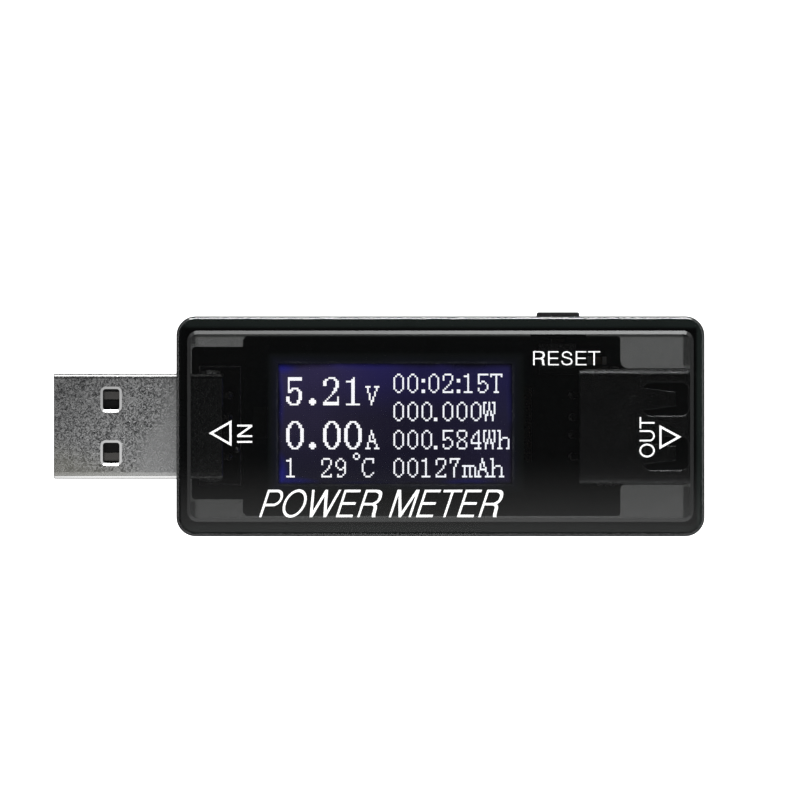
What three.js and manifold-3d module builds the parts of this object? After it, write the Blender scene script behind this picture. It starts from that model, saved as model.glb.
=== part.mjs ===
// USB power meter: a smoke-clear case with a USB-A plug at one end, a USB-A socket at the other,
// a dot-matrix display between them and a reset button in one long side.
// Millimetres. Origin: centre of the case's back face. +X towards the socket, +Y towards the
// button's side, +Z towards the display.
import * as THREE from 'three';
import { mergeVertices } from 'three/addons/utils/BufferGeometryUtils.js';
import Module from 'manifold-3d';

const wasm = await Module();
wasm.setup();

// ---------------------------------------------------------------- driving dimensions
const CASE_L = 60;
const CASE_W = 25;
const CASE_H = 12.6;
const CORNER_R = 2.2;
const EDGE_R = 0.5;
const END_WALL = 1.22;
const SIDE_WALL = 1.64;
const FLAT_WALL = 1.5;
const CAVITY_R = 1.2;
const CAVITY_EDGE = 0.4;
const CAVITY_EDGE_H = 0.36;
const SEAM_Z = 6.3;
const SEAM_GAP = 0.1;
const LIP_H = 0.85;
const LIP_INSET = 0.55;

const PCB_Z = 2.6;
const PCB_T = 1.0;
const PCB_TOP = PCB_Z + PCB_T;
const SEAT = PCB_TOP + 0.05;

const PLUG_TIP_X = -44.1;
const PLUG_END_X = -24.8;
const PLUG_W = 12.0;
const PLUG_H = 4.5;
const PLUG_Z = SEAT + PLUG_H / 2;
const SHEET_T = 0.3;
const LATCH_X = -37.55;
const LATCH_Y = 3.06;
const LATCH_L = 1.9;
const LATCH_W = 2.36;
const LATCH_RIM = 0.27;

const SOCKET_X = 15.8;
const SOCKET_MOUTH_X = CASE_L / 2;
const SOCKET_W = 13.1;
const SOCKET_H = 5.72;
const SOCKET_Z = SEAT + SOCKET_H / 2;
const FINGER_Y = 3.1;

const CONTACT_Y = [3.5, 1.0, -1.0, -3.5];

const LCD = { x0: -19.6, x1: 9.5, y0: -7.5, y1: 8.3 };
const VIEW = { x0: -18.44, x1: 8.15, y0: -6.57, y1: 7.12 };
const LCD_Z0 = 7.25;
const BACKLIGHT_T = 1.6;
const GLASS_T = 0.6;
const BEZEL_TOP = 10.6;

const BUTTON_X = 13.45;
const BUTTON_W = 4.9;
const BUTTON_H = 2.2;
const BUTTON_Z = SEAM_Z;
const BUTTON_TOP_Y = 13.02;
const SWITCH_Z = 5.6;

// ---------------------------------------------------------------- helpers
const AXES = {
  z: new THREE.Matrix4(),
  x: new THREE.Matrix4().makeBasis(new THREE.Vector3(0, 1, 0), new THREE.Vector3(0, 0, 1), new THREE.Vector3(1, 0, 0)),
  y: new THREE.Matrix4().makeBasis(new THREE.Vector3(1, 0, 0), new THREE.Vector3(0, 0, 1), new THREE.Vector3(0, -1, 0)),
};

function solid(geometry) {
  const g = geometry.index ? geometry.clone() : geometry;
  g.deleteAttribute('normal');
  g.deleteAttribute('uv');
  const m = mergeVertices(g, 1e-4);
  return new wasm.Manifold(new wasm.Mesh({
    numProp: 3,
    vertProperties: new Float32Array(m.attributes.position.array),
    triVerts: new Uint32Array(m.index.array),
  }));
}

function box(x0, x1, y0, y1, z0, z1) {
  const g = new THREE.BoxGeometry(x1 - x0, y1 - y0, z1 - z0);
  g.translate((x0 + x1) / 2, (y0 + y1) / 2, (z0 + z1) / 2);
  return solid(g);
}

function cylinderZ(x, y, r, z0, z1, segments = 14) {
  const g = new THREE.CylinderGeometry(r, r, z1 - z0, segments);
  g.rotateX(Math.PI / 2);
  g.translate(x, y, (z0 + z1) / 2);
  return solid(g);
}

// a rounded rectangle centred on (cx, cy)
function roundRect(w, h, r, cx = 0, cy = 0) {
  const s = new THREE.Shape();
  const x0 = cx - w / 2, x1 = cx + w / 2, y0 = cy - h / 2, y1 = cy + h / 2;
  s.moveTo(x1 - r, y0);
  s.absarc(x1 - r, y0 + r, r, -Math.PI / 2, 0, false);
  s.absarc(x1 - r, y1 - r, r, 0, Math.PI / 2, false);
  s.absarc(x0 + r, y1 - r, r, Math.PI / 2, Math.PI, false);
  s.absarc(x0 + r, y0 + r, r, Math.PI, Math.PI * 1.5, false);
  s.closePath();
  return s;
}

function polygon(points) {
  return new THREE.Shape(points.map(([x, y]) => new THREE.Vector2(x, y)));
}

// extrude a shape along an axis between two stations; for 'y' the shape is drawn in X and Z
function extrude(shape, axis, from, to, { segments = 5, bevel = 0, bevelSegments = 1 } = {}) {
  const length = to - from;
  const g = new THREE.ExtrudeGeometry(shape, {
    depth: length - 2 * bevel,
    curveSegments: segments,
    bevelEnabled: bevel > 0,
    bevelThickness: bevel,
    bevelSize: bevel,
    bevelOffset: -bevel,
    bevelSegments,
  });
  g.translate(0, 0, bevel);
  if (axis === 'y') {
    g.translate(0, 0, -to);
    g.applyMatrix4(AXES.y);
  } else {
    g.translate(0, 0, from);
    g.applyMatrix4(AXES[axis]);
  }
  return solid(g);
}

// cutter that eases a hole's rim: the outline at `depth` under a surface, `size` wider at the surface.
// facing +1 for a surface that looks up, -1 for one that looks down
function rimCutter(shape, z, facing, size, depth, segments = 4) {
  const clear = 0.4;
  const g = new THREE.ExtrudeGeometry(shape, {
    depth: clear, curveSegments: segments, bevelEnabled: true, bevelThickness: depth, bevelSize: size, bevelSegments: 1,
  });
  g.translate(0, 0, facing > 0 ? z : z - clear);
  return solid(g);
}

// square bar laid along a straight edge from p to q, turned about its length; cutting it away eases the edge
function edgeBar(p, q, side, turn) {
  const a = new THREE.Vector3(...p), b = new THREE.Vector3(...q);
  const along = b.clone().sub(a);
  const g = new THREE.BoxGeometry(along.length() + 0.1, side, side);
  g.rotateX(turn);
  g.applyQuaternion(new THREE.Quaternion().setFromUnitVectors(new THREE.Vector3(1, 0, 0), along.clone().normalize()));
  const mid = a.add(b).multiplyScalar(0.5);
  g.translate(mid.x, mid.y, mid.z);
  return solid(g);
}

const part = new THREE.Group();

function add(name, manifold, { color, roughness = 0.5, metalness = 0, opacity = 1 }) {
  const { vertProperties, triVerts } = manifold.getMesh();
  const g = new THREE.BufferGeometry();
  g.setAttribute('position', new THREE.BufferAttribute(new Float32Array(vertProperties), 3));
  g.setIndex(new THREE.BufferAttribute(new Uint32Array(triVerts), 1));
  g.computeVertexNormals();
  const material = new THREE.MeshStandardMaterial({ color, roughness, metalness, transparent: opacity < 1, opacity });
  const mesh = new THREE.Mesh(g, material);
  mesh.name = name;
  part.add(mesh);
  return mesh;
}

const SMOKE = { color: 0x1b1c1c, roughness: 0.08, opacity: 0.6 };
const BLACK_PLASTIC = { color: 0x101011, roughness: 0.45 };
const CHIP = { color: 0x141415, roughness: 0.55 };
const STEEL = { color: 0x9a9c9f, roughness: 0.32, metalness: 1 };
const GOLD = { color: 0xd2a85a, roughness: 0.25, metalness: 1 };
const TIN = { color: 0xb9bbbd, roughness: 0.35, metalness: 1 };
const GLASS = { color: 0x33354a, roughness: 0.05, opacity: 0.4 };

// ---------------------------------------------------------------- case
const block = extrude(roundRect(CASE_L, CASE_W, CORNER_R), 'z', 0, CASE_H, { segments: 9, bevel: EDGE_R, bevelSegments: 4 });
// the hollow inside, with a sloped edge round its ceiling and its floor
const hollow = new THREE.ExtrudeGeometry(roundRect(CASE_L - 2 * END_WALL, CASE_W - 2 * SIDE_WALL, CAVITY_R), {
  depth: CASE_H - 2 * FLAT_WALL - 2 * CAVITY_EDGE_H,
  curveSegments: 8,
  bevelEnabled: true,
  bevelThickness: CAVITY_EDGE_H,
  bevelSize: CAVITY_EDGE,
  bevelOffset: -CAVITY_EDGE,
  bevelSegments: 1,
});
hollow.translate(0, 0, FLAT_WALL + CAVITY_EDGE_H);
const cavity = solid(hollow);
const plugCut = extrude(roundRect(PLUG_W + 0.3, PLUG_H + 0.3, 0.6, 0, PLUG_Z), 'x', -CASE_L / 2 - 1, -CASE_L / 2 + END_WALL + 0.5, { segments: 4 });
const socketCut = extrude(roundRect(SOCKET_W + 0.3, SOCKET_H + 0.3, 1.1, 0, SOCKET_Z), 'x', CASE_L / 2 - END_WALL - 0.5, CASE_L / 2 + 1, { segments: 4 });
const buttonCut = box(
  BUTTON_X - BUTTON_W / 2 - 0.15, BUTTON_X + BUTTON_W / 2 + 0.15,
  CASE_W / 2 - SIDE_WALL - 0.5, CASE_W / 2 + 1,
  BUTTON_Z - BUTTON_H / 2 - 0.15, BUTTON_Z + BUTTON_H / 2 + 0.15,
);
const lipOutline = (inset) => roundRect(CASE_L - 2 * inset, CASE_W - 2 * inset, CORNER_R - inset * 0.55);
const openings = plugCut.add(socketCut).add(buttonCut);
const big = 40;
const splitTop = SEAM_Z + SEAM_GAP / 2;
const splitBottom = SEAM_Z - SEAM_GAP / 2;

// the front half ends in a thin inner lip that drops inside the back half's rim
const upperRegion = box(-big, big, -big, big, splitTop, big)
  .add(extrude(lipOutline(LIP_INSET + 0.05), 'z', splitTop - LIP_H, splitTop + 0.2, { segments: 5 }));
const lowerRegion = box(-big, big, -big, big, -big, splitBottom)
  .subtract(extrude(lipOutline(LIP_INSET - 0.05), 'z', splitTop - LIP_H - 0.1, splitBottom + 1, { segments: 5 }));
const topCover = block.intersect(upperRegion).subtract(cavity).subtract(openings);

// four pads carry the board
const pads = [[-20.6, 7.4], [-20.6, -7.4], [18.6, 8.6], [18.6, -8.6]];
let bottomCover = block.intersect(lowerRegion).subtract(cavity).subtract(openings);
for (const [x, y] of pads) bottomCover = bottomCover.add(cylinderZ(x, y, 1.1, FLAT_WALL - 0.2, PCB_Z - 0.05));
// a low rib stiffens the end wall at each side of the socket
const ribEnd = CASE_L / 2 - END_WALL + 0.3;
for (const [y0, y1] of [[6.95, CASE_W / 2 - SIDE_WALL + 0.3], [-CASE_W / 2 + SIDE_WALL - 0.3, -6.95]]) {
  bottomCover = bottomCover.add(box(27.9, ribEnd, y0, y1, FLAT_WALL - 0.2, FLAT_WALL + 0.8));
}
// and two short ribs do the same beside the tab under the plug
for (const [y0, y1] of [[9.4, CASE_W / 2 - SIDE_WALL + 0.3], [-CASE_W / 2 + SIDE_WALL - 0.3, -8.7]]) {
  bottomCover = bottomCover.add(box(-ribEnd, -28.1, y0, y1, FLAT_WALL - 0.2, FLAT_WALL + 0.8));
}

add('top_cover', topCover, SMOKE);
add('bottom_cover', bottomCover, SMOKE);

// ---------------------------------------------------------------- circuit board
{
  const y1 = 10.3, y0 = -10.3, lx = -22.6, rx = 20.65;
  const s = new THREE.Shape();
  s.moveTo(lx + 0.4, y0);
  s.lineTo(rx - 0.4, y0);
  s.absarc(rx - 0.4, y0 + 0.4, 0.4, -Math.PI / 2, 0, false);
  s.lineTo(rx, -7.3);
  s.absarc(rx + 0.58, -7.3, 0.58, Math.PI, Math.PI / 2, true);
  s.lineTo(28.0, -6.72);
  s.lineTo(28.3, -6.42);
  s.lineTo(28.3, 6.33);
  s.lineTo(28.0, 6.63);
  s.lineTo(rx + 0.9, 6.63);
  s.absarc(rx + 0.9, 7.53, 0.9, -Math.PI / 2, -Math.PI, true);
  s.lineTo(rx, y1 - 0.4);
  s.absarc(rx - 0.4, y1 - 0.4, 0.4, 0, Math.PI / 2, false);
  s.lineTo(lx + 0.4, y1);
  s.lineTo(lx, y1 - 0.4);
  s.lineTo(lx, 9.08);
  s.lineTo(-28.15, 9.08);
  s.lineTo(-28.45, 8.78);
  s.lineTo(-28.45, -8.1);
  s.lineTo(-28.15, -8.4);
  s.lineTo(lx, -8.4);
  s.lineTo(lx, y0 + 0.4);
  s.closePath();
  const hole = (x, y, r) => {
    const p = new THREE.Path();
    p.absarc(x, y, r, 0, Math.PI * 2, false);
    s.holes.push(p);
  };
  const slot = (x, y, w, h) => s.holes.push(new THREE.Path(roundRect(w, h, 0.3, x, y).getPoints(2)));
  for (const y of CONTACT_Y) {
    hole(-24.15, y, 0.5);
    hole(15.15, y, 0.5);
  }
  for (const side of [1, -1]) {
    slot(-26.3, side * 5.85, 2.6, 0.9);
    slot(19.2, side * 6.4, 2.6, 0.9);
  }
  add('circuit_board', extrude(s, 'z', PCB_Z, PCB_TOP, { segments: 4 }), { color: 0x0b0d0c, roughness: 0.35 });
}

// ---------------------------------------------------------------- plug (IN)
function shellTube(w, h, r, cz, x0, x1) {
  const s = roundRect(w, h, r, 0, cz);
  s.holes.push(new THREE.Path(roundRect(w - 2 * SHEET_T, h - 2 * SHEET_T, r - SHEET_T, 0, cz).getPoints(5)));
  return extrude(s, 'x', x0, x1, { segments: 5, bevel: 0.08 });
}
{
  let shell = shellTube(PLUG_W, PLUG_H, 0.46, PLUG_Z, PLUG_TIP_X, PLUG_END_X);
  for (const y of [LATCH_Y, -LATCH_Y]) {
    const hole = roundRect(LATCH_L, LATCH_W, 0.32, LATCH_X, y);
    shell = shell.subtract(extrude(hole, 'z', PLUG_Z - 4, PLUG_Z + 4, { segments: 4 }))
      .subtract(rimCutter(hole, PLUG_Z + PLUG_H / 2, 1, LATCH_RIM, LATCH_RIM / 2))
      .subtract(rimCutter(hole, PLUG_Z - PLUG_H / 2, -1, LATCH_RIM, LATCH_RIM / 2));
  }
  for (const side of [1, -1]) {
    const y0 = side > 0 ? PLUG_W / 2 - SHEET_T : -PLUG_W / 2;
    shell = shell.add(box(-27.2, -25.4, y0, y0 + SHEET_T, 2.0, PLUG_Z));
  }
  add('plug_shell', shell, STEEL);

  const blockW = PLUG_W - 2 * SHEET_T - 0.1;
  const blockH = PLUG_H - 2 * SHEET_T - 0.1;
  const shelfZ = 5.85;
  let insulator = extrude(roundRect(blockW, blockH, 0.2, 0, PLUG_Z), 'x', PLUG_TIP_X + 0.4, PLUG_END_X - 0.1, { segments: 2 })
    .subtract(box(PLUG_TIP_X - 1, -31.5, -10, 10, shelfZ, 12));
  CONTACT_Y.forEach((y, i) => {
    const outer = i === 0 || i === 3;
    const x0 = PLUG_TIP_X + (outer ? 1.0 : 2.0);
    insulator = insulator.subtract(box(x0 - 0.2, PLUG_END_X + 1, y - 0.55, y + 0.55, shelfZ - 0.22, shelfZ + 0.12));
    const strip = extrude(polygon([
      [x0, shelfZ - 0.16], [PLUG_END_X - 0.4, shelfZ - 0.16], [PLUG_END_X - 0.4, shelfZ + 0.06], [x0 + 0.25, shelfZ + 0.06],
    ]), 'y', y - 0.5, y + 0.5, { bevel: 0.06 });
    const tail = extrude(polygon([
      [PLUG_END_X - 0.6, shelfZ - 0.16], [-24.28, shelfZ - 0.16], [-24.28, 2.1], [-24.02, 2.1], [-24.02, shelfZ - 0.06],
      [-24.14, shelfZ + 0.06], [PLUG_END_X - 0.6, shelfZ + 0.06],
    ]), 'y', y - 0.3, y + 0.3, { bevel: 0.05 });
    add(`plug_contact_${i + 1}`, strip.add(tail), GOLD);
  });
  add('plug_insulator', insulator, BLACK_PLASTIC);
}

// ---------------------------------------------------------------- socket (OUT)
{
  let shell = shellTube(SOCKET_W, SOCKET_H, 0.95, SOCKET_Z, SOCKET_X, SOCKET_MOUTH_X);
  const top = SOCKET_Z + SOCKET_H / 2;
  const bottom = SOCKET_Z - SOCKET_H / 2;
  const taper = (y) => extrude(polygon([
    [22.6, y - 1.25], [23.2, y - 1.25], [26.85, y - 0.8], [26.85, y + 0.8], [23.2, y + 1.25], [22.6, y + 1.25],
  ]), 'z', 0, 14);
  for (const y of [FINGER_Y, -FINGER_Y]) {
    const window = roundRect(28.4 - 22.98, 3.8, 1.1, (22.98 + 28.4) / 2, y);
    shell = shell.subtract(extrude(window, 'z', bottom - 1, bottom + 1, { segments: 4 }))
      .subtract(extrude(window, 'z', top - 1, top + 1, { segments: 4 }))
      .subtract(rimCutter(window, top, 1, 0.12, 0.07))
      .subtract(rimCutter(window, bottom, -1, 0.12, 0.07));
    for (const sign of [1, -1]) {
      // a leaf spring that leans into the mouth and turns up at its tip
      const z = (d) => (sign > 0 ? top - d : bottom + d);
      const leaf = [
        [22.7, z(0)], [23.2, z(0)], [25.9, z(0.42)], [26.8, z(0.25)], [26.8, z(0.51)], [25.9, z(0.68)], [23.2, z(SHEET_T)], [22.7, z(SHEET_T)],
      ];
      let finger = extrude(polygon(sign > 0 ? leaf.reverse() : leaf), 'y', y - 1.4, y + 1.4).intersect(taper(y));
      for (const edge of [1, -1]) {
        const turn = -edge * sign * (Math.PI / 180) * 33;
        const corners = [[23.2, y + edge * 1.25, z(0)], [25.9, y + edge * 0.917, z(0.42)], [26.85, y + edge * 0.8, z(0.236)]];
        finger = finger.subtract(edgeBar(corners[0], corners[1], 0.14, turn)).subtract(edgeBar(corners[1], corners[2], 0.14, turn));
      }
      shell = shell.add(finger);
    }
  }
  for (const side of [1, -1]) {
    const y0 = side > 0 ? SOCKET_W / 2 - SHEET_T : -SOCKET_W / 2;
    shell = shell.add(box(18.2, 20.2, y0, y0 + SHEET_T, 2.0, SOCKET_Z));
  }
  add('socket_shell', shell, STEEL);

  const tongueTop = SOCKET_Z + SOCKET_H / 2 - SHEET_T - 0.65;
  const tongueBottom = tongueTop - 1.84;
  let insulator = extrude(roundRect(SOCKET_W - 2 * SHEET_T - 0.1, SOCKET_H - 2 * SHEET_T - 0.1, 0.75, 0, SOCKET_Z), 'x', SOCKET_X + 0.1, 20.0, { segments: 3 })
    .add(extrude(polygon([
      [19.0, tongueBottom], [28.2, tongueBottom], [28.6, tongueBottom + 0.35], [28.6, tongueTop - 0.35], [28.2, tongueTop], [19.0, tongueTop],
    ]), 'y', -5.55, 5.55));
  CONTACT_Y.forEach((y, i) => {
    insulator = insulator.subtract(box(SOCKET_X - 1, 28.0, y - 0.55, y + 0.55, tongueBottom - 1.2, tongueBottom + 0.4)
      .subtract(box(SOCKET_X - 2, 19.95, y - 2, y + 2, 0, tongueBottom - 0.02)));
    // each contact runs under the tongue, bellies down towards the plug and returns into its groove
    const zc = tongueBottom + 0.08;
    const strip = extrude(polygon([
      [16.4, zc], [24.2, zc], [25.6, zc - 0.45], [26.4, zc - 0.45], [27.7, zc + 0.02], [27.7, zc + 0.24], [26.35, zc - 0.23], [25.65, zc - 0.23],
      [24.25, zc + 0.2], [16.4, zc + 0.2],
    ]), 'y', y - 0.5, y + 0.5, { bevel: 0.05 });
    const tail = extrude(polygon([
      [16.6, zc], [15.28, zc], [15.28, 2.1], [15.02, 2.1], [15.02, zc + 0.08], [15.14, zc + 0.2], [16.6, zc + 0.2],
    ].reverse()), 'y', y - 0.3, y + 0.3, { bevel: 0.05 });
    add(`socket_contact_${i + 1}`, strip.add(tail), GOLD);
  });
  add('socket_insulator', insulator, BLACK_PLASTIC);
}

// ---------------------------------------------------------------- display
{
  const glassZ = LCD_Z0 + BACKLIGHT_T + 0.05;
  const frontZ = glassZ + GLASS_T + 0.03;
  const polZ = frontZ + GLASS_T + 0.03;
  const lipZ = polZ + 0.2;
  add('lcd_backlight', box(LCD.x0 + 0.2, LCD.x1 - 0.2, LCD.y0 + 0.2, LCD.y1 - 0.2, LCD_Z0, LCD_Z0 + BACKLIGHT_T), { color: 0x8f97d8, roughness: 0.3 });
  add('lcd_rear_glass', box(LCD.x0 + 0.55, LCD.x1 - 0.35, LCD.y0 + 0.55, LCD.y1 - 0.55, glassZ, glassZ + GLASS_T), GLASS);
  add('lcd_front_glass', box(LCD.x0 + 0.55, LCD.x1 - 1.2, LCD.y0 + 0.55, LCD.y1 - 0.55, frontZ, frontZ + GLASS_T), GLASS);
  add('lcd_polariser', box(LCD.x0 + 0.7, LCD.x1 - 1.3, LCD.y0 + 0.65, LCD.y1 - 0.65, polZ, polZ + 0.14), { color: 0x28235a, roughness: 0.2 });

  const frame = (x0, x1, y0, y1, z0, z1, c) => extrude(polygon([
    [x0 + c, y0], [x1 - c, y0], [x1, y0 + c], [x1, y1 - c], [x1 - c, y1], [x0 + c, y1], [x0, y1 - c], [x0, y0 + c],
  ]), 'z', z0, z1);
  let bezel = frame(LCD.x0, LCD.x1, LCD.y0, LCD.y1, glassZ, BEZEL_TOP, 0.3)
    .subtract(box(LCD.x0 + 0.45, LCD.x1 - 0.25, LCD.y0 + 0.45, LCD.y1 - 0.45, glassZ - 1, lipZ));
  // the lip's inner edge slopes down to the viewing area
  const slope = new THREE.ExtrudeGeometry(polygon([
    [VIEW.x0 - 0.25, VIEW.y0 - 0.25], [VIEW.x1 + 0.25, VIEW.y0 - 0.25], [VIEW.x1 + 0.25, VIEW.y1 + 0.25], [VIEW.x0 - 0.25, VIEW.y1 + 0.25],
  ]), { depth: 0.001, bevelEnabled: true, bevelThickness: 0.25, bevelSize: 0.25, bevelOffset: -0.25, bevelSegments: 1 });
  slope.translate(0, 0, BEZEL_TOP);
  bezel = bezel.subtract(solid(slope))
    .subtract(box(VIEW.x0, VIEW.x1, VIEW.y0, VIEW.y1, lipZ - 1, BEZEL_TOP + 1))
    .subtract(box(LCD.x1 - 1, LCD.x1 + 1, -4.3, 4.9, glassZ - 1, glassZ + GLASS_T + 0.45));
  add('lcd_bezel', bezel, BLACK_PLASTIC);

  // the ribbon leaves the rear glass's ledge, turns down and runs back under the light guide
  const t = 0.12;
  const ledgeZ = glassZ + GLASS_T + 0.03;
  const path = [[8.42, ledgeZ], [9.9, ledgeZ]];
  const turn = (cx, cz, r, a0, a1, n) => {
    const out = [];
    for (let k = 0; k <= n; k++) {
      const a = a0 + ((a1 - a0) * k) / n;
      out.push([cx + r * Math.cos(a), cz + r * Math.sin(a)]);
    }
    return out;
  };
  const rTop = 0.5, rLow = 0.9, downX = 10.4, endZ = 4.9;
  const outerLine = [[8.42, ledgeZ + t], ...turn(downX - rTop, ledgeZ + t - rTop, rTop, Math.PI / 2, 0, 4),
    ...turn(downX - rLow, endZ + rLow, rLow, 0, -Math.PI / 2, 5), [7.6, endZ]];
  const innerLine = [[8.42, ledgeZ], ...turn(downX - rTop, ledgeZ + t - rTop, rTop - t, Math.PI / 2, 0, 4),
    ...turn(downX - rLow, endZ + rLow, rLow - t, 0, -Math.PI / 2, 5), [7.6, endZ + t]];
  add('lcd_flex', extrude(polygon([...innerLine, ...outerLine.reverse()]), 'y', -4.0, 4.6), { color: 0x3a2410, roughness: 0.4 });

  const connector = box(4.4, 7.9, -4.6, 5.2, SEAT, SEAT + 1.6).subtract(box(7.2, 8.5, -4.2, 4.8, endZ - 0.1, endZ + t + 0.1));
  add('flex_connector', connector, { color: 0x2a2620, roughness: 0.5 });

  for (const [i, y0, y1] of [[1, 5.6, 7.9], [2, -7.1, -4.8]]) {
    add(`lcd_foam_pad_${i}`, box(-18, 8, y0, y1, SEAT, LCD_Z0 - 0.05), { color: 0x1d1d1f, roughness: 0.95 });
  }
  add('backlight_led', box(-21.3, -19.7, -1.4, 2.2, LCD_Z0 + 0.2, LCD_Z0 + 1.4), { color: 0xe8e6df, roughness: 0.4 });
}

// ---------------------------------------------------------------- reset button and its switch
{
  const x0 = BUTTON_X - BUTTON_W / 2, x1 = BUTTON_X + BUTTON_W / 2;
  const z0 = BUTTON_Z - BUTTON_H / 2, z1 = BUTTON_Z + BUTTON_H / 2;
  const c = 0.22;
  // key stem with eased edges all round its outer end, on a wider flange that can't pass the wall
  const stem = extrude(roundRect(BUTTON_W, BUTTON_H, 0.35, BUTTON_X, BUTTON_Z), 'y', 10.0, BUTTON_TOP_Y, { segments: 4, bevel: c, bevelSegments: 3 });
  const flange = box(x0 - 0.7, x1 + 0.7, 10.15, 10.84, z0 - 0.7, z1 + 0.6);
  const web = box(BUTTON_X - 1.0, BUTTON_X + 1.0, 10.0, 10.2, SWITCH_Z - 0.7, SWITCH_Z + 0.7);
  add('reset_button', stem.subtract(box(x0 - 1, x1 + 1, 9.5, 10.3, z0 - 2, z1 + 2)).add(flange).add(web), SMOKE);

  const sx0 = 11.3, sx1 = 15.4, sy0 = 5.9, sy1 = 9.3;
  const body = box(sx0, sx1, sy0, sy1, SEAT, SEAT + 3.5)
    .subtract(box(12.0, 14.6, 7.9, sy1 + 1, SWITCH_Z - 1.2, SWITCH_Z + 1.2));
  add('switch_body', body, BLACK_PLASTIC);
  const cover = box(sx0, sx1, sy1 + 0.03, sy1 + 0.23, SEAT + 0.1, SEAT + 3.75)
    .add(box(sx0, sx1, 6.6, sy1 + 0.1, SEAT + 3.55, SEAT + 3.75))
    .subtract(box(BUTTON_X - 0.9, BUTTON_X + 0.9, sy1 - 1, sy1 + 1, SWITCH_Z - 0.75, SWITCH_Z + 0.75))
    .subtract(edgeBar([sx0 - 0.2, sy1 + 0.23, SEAT + 3.75], [sx1 + 0.2, sy1 + 0.23, SEAT + 3.75], 0.2, -(Math.PI / 180) * 33));
  add('switch_cover', cover, STEEL);
  const plunger = box(BUTTON_X - 0.75, BUTTON_X + 0.75, 8.8, 9.97, SWITCH_Z - 0.6, SWITCH_Z + 0.6)
    .add(box(BUTTON_X - 1.15, BUTTON_X + 1.15, 8.4, 8.95, SWITCH_Z - 1.0, SWITCH_Z + 1.0));
  add('switch_plunger', plunger, { color: 0x5a3a24, roughness: 0.45 });
  // snap dome: a thin shallow cap, open on its hollow side
  const dome = new THREE.LatheGeometry([
    [0, 0.36], [0.45, 0.33], [0.8, 0.22], [1.1, 0.02], [1.1, -0.06], [1.02, -0.06], [0.75, 0.12], [0.42, 0.24], [0, 0.27],
  ].map(([r, h]) => new THREE.Vector2(r, h)).reverse(), 14);
  dome.translate(BUTTON_X, 7.99, SWITCH_Z);
  add('switch_dome', solid(dome), STEEL);
}

// ---------------------------------------------------------------- board components
// moulded package with gull-wing leads along its two long sides, or on all four
function chip(cx, cy, w, d, h, leads, pitch, reach, four = false) {
  let m = extrude(roundRect(w, d, 0.12, cx, cy), 'z', SEAT + 0.12, SEAT + h, { segments: 1, bevel: 0.1 });
  const leg = (offset) => [
    [offset - 0.35, SEAT + h * 0.5 - 0.08], [offset + reach * 0.42, SEAT + h * 0.5 - 0.08], [offset + reach * 0.55, SEAT],
    [offset + reach, SEAT], [offset + reach, SEAT + 0.15], [offset + reach * 0.7, SEAT + 0.15],
    [offset + reach * 0.55, SEAT + h * 0.5 + 0.08], [offset - 0.35, SEAT + h * 0.5 + 0.08],
  ];
  const row = (axis, c, half, other) => {
    for (let k = 0; k < leads; k++) {
      const at = other + (k - (leads - 1) / 2) * pitch;
      for (const sign of [1, -1]) {
        const profile = leg(half).map(([u, z]) => [c + sign * u, z]);
        if (sign < 0) profile.reverse();
        if (axis === 'x') {
          m = m.add(extrude(polygon(profile), 'y', at - 0.15, at + 0.15));
        } else {
          // profile drawn in Y and Z, run along X
          m = m.add(extrude(polygon(profile), 'x', at - 0.15, at + 0.15));
        }
      }
    }
  };
  row('y', cy, d / 2, cx);
  if (four) row('x', cx, w / 2, cy);
  return m;
}

// ceramic or film chip with end caps slightly larger than its body
function passive(cx, cy, w, d, h, alongX = true) {
  const cap = 0.22 * (alongX ? w : d);
  const core = alongX
    ? box(cx - w / 2 + 0.1, cx + w / 2 - 0.1, cy - d / 2 + 0.03, cy + d / 2 - 0.03, SEAT + 0.02, SEAT + h - 0.03)
    : box(cx - w / 2 + 0.03, cx + w / 2 - 0.03, cy - d / 2 + 0.1, cy + d / 2 - 0.1, SEAT + 0.02, SEAT + h - 0.03);
  let m = core;
  for (const sign of [1, -1]) {
    m = m.add(alongX
      ? box(Math.min(cx + sign * w / 2, cx + sign * (w / 2 - cap)), Math.max(cx + sign * w / 2, cx + sign * (w / 2 - cap)), cy - d / 2, cy + d / 2, SEAT, SEAT + h)
      : box(cx - w / 2, cx + w / 2, Math.min(cy + sign * d / 2, cy + sign * (d / 2 - cap)), Math.max(cy + sign * d / 2, cy + sign * (d / 2 - cap)), SEAT, SEAT + h));
  }
  return m;
}

const CERAMIC = { color: 0x8a6f4e, roughness: 0.5 };
add('microcontroller', chip(-9.5, 0.4, 5, 5, 1.3, 6, 0.65, 0.8, true), CHIP);
add('current_amplifier', chip(-0.4, 1.8, 3, 3, 1.0, 4, 0.65, 0.8), CHIP);
add('memory_chip', chip(-15.6, 0.4, 3, 3, 1.0, 4, 0.65, 0.8), CHIP);
add('voltage_regulator', chip(-4.6, -1.8, 2.9, 1.6, 1.1, 3, 0.95, 0.6), CHIP);
add('shunt_resistor', passive(0.2, -2.7, 6.3, 3.1, 0.65), { color: 0x1c1c1d, roughness: 0.5 });
add('crystal', passive(-4.6, 2.2, 1.5, 3.2, 0.8, false), TIN);
add('input_capacitor', passive(-4.6, -4.1, 2.0, 1.2, 1.0), CERAMIC);
add('output_capacitor', passive(17.95, 7.5, 2.2, 0.9, 1.0), CERAMIC);
add('regulator_capacitor', passive(-15.6, -3.7, 2.0, 1.2, 1.0), CERAMIC);
add('divider_resistor_1', passive(-15.6, 4.6, 1.6, 0.8, 0.5), CHIP);
add('divider_resistor_2', passive(-12.9, 4.6, 1.6, 0.8, 0.5), CHIP);
add('data_resistor_1', passive(1.2, 4.7, 1.6, 0.8, 0.5), CHIP);
add('data_resistor_2', passive(-1.6, 4.7, 1.6, 0.8, 0.5), CHIP);

export default part;
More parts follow.
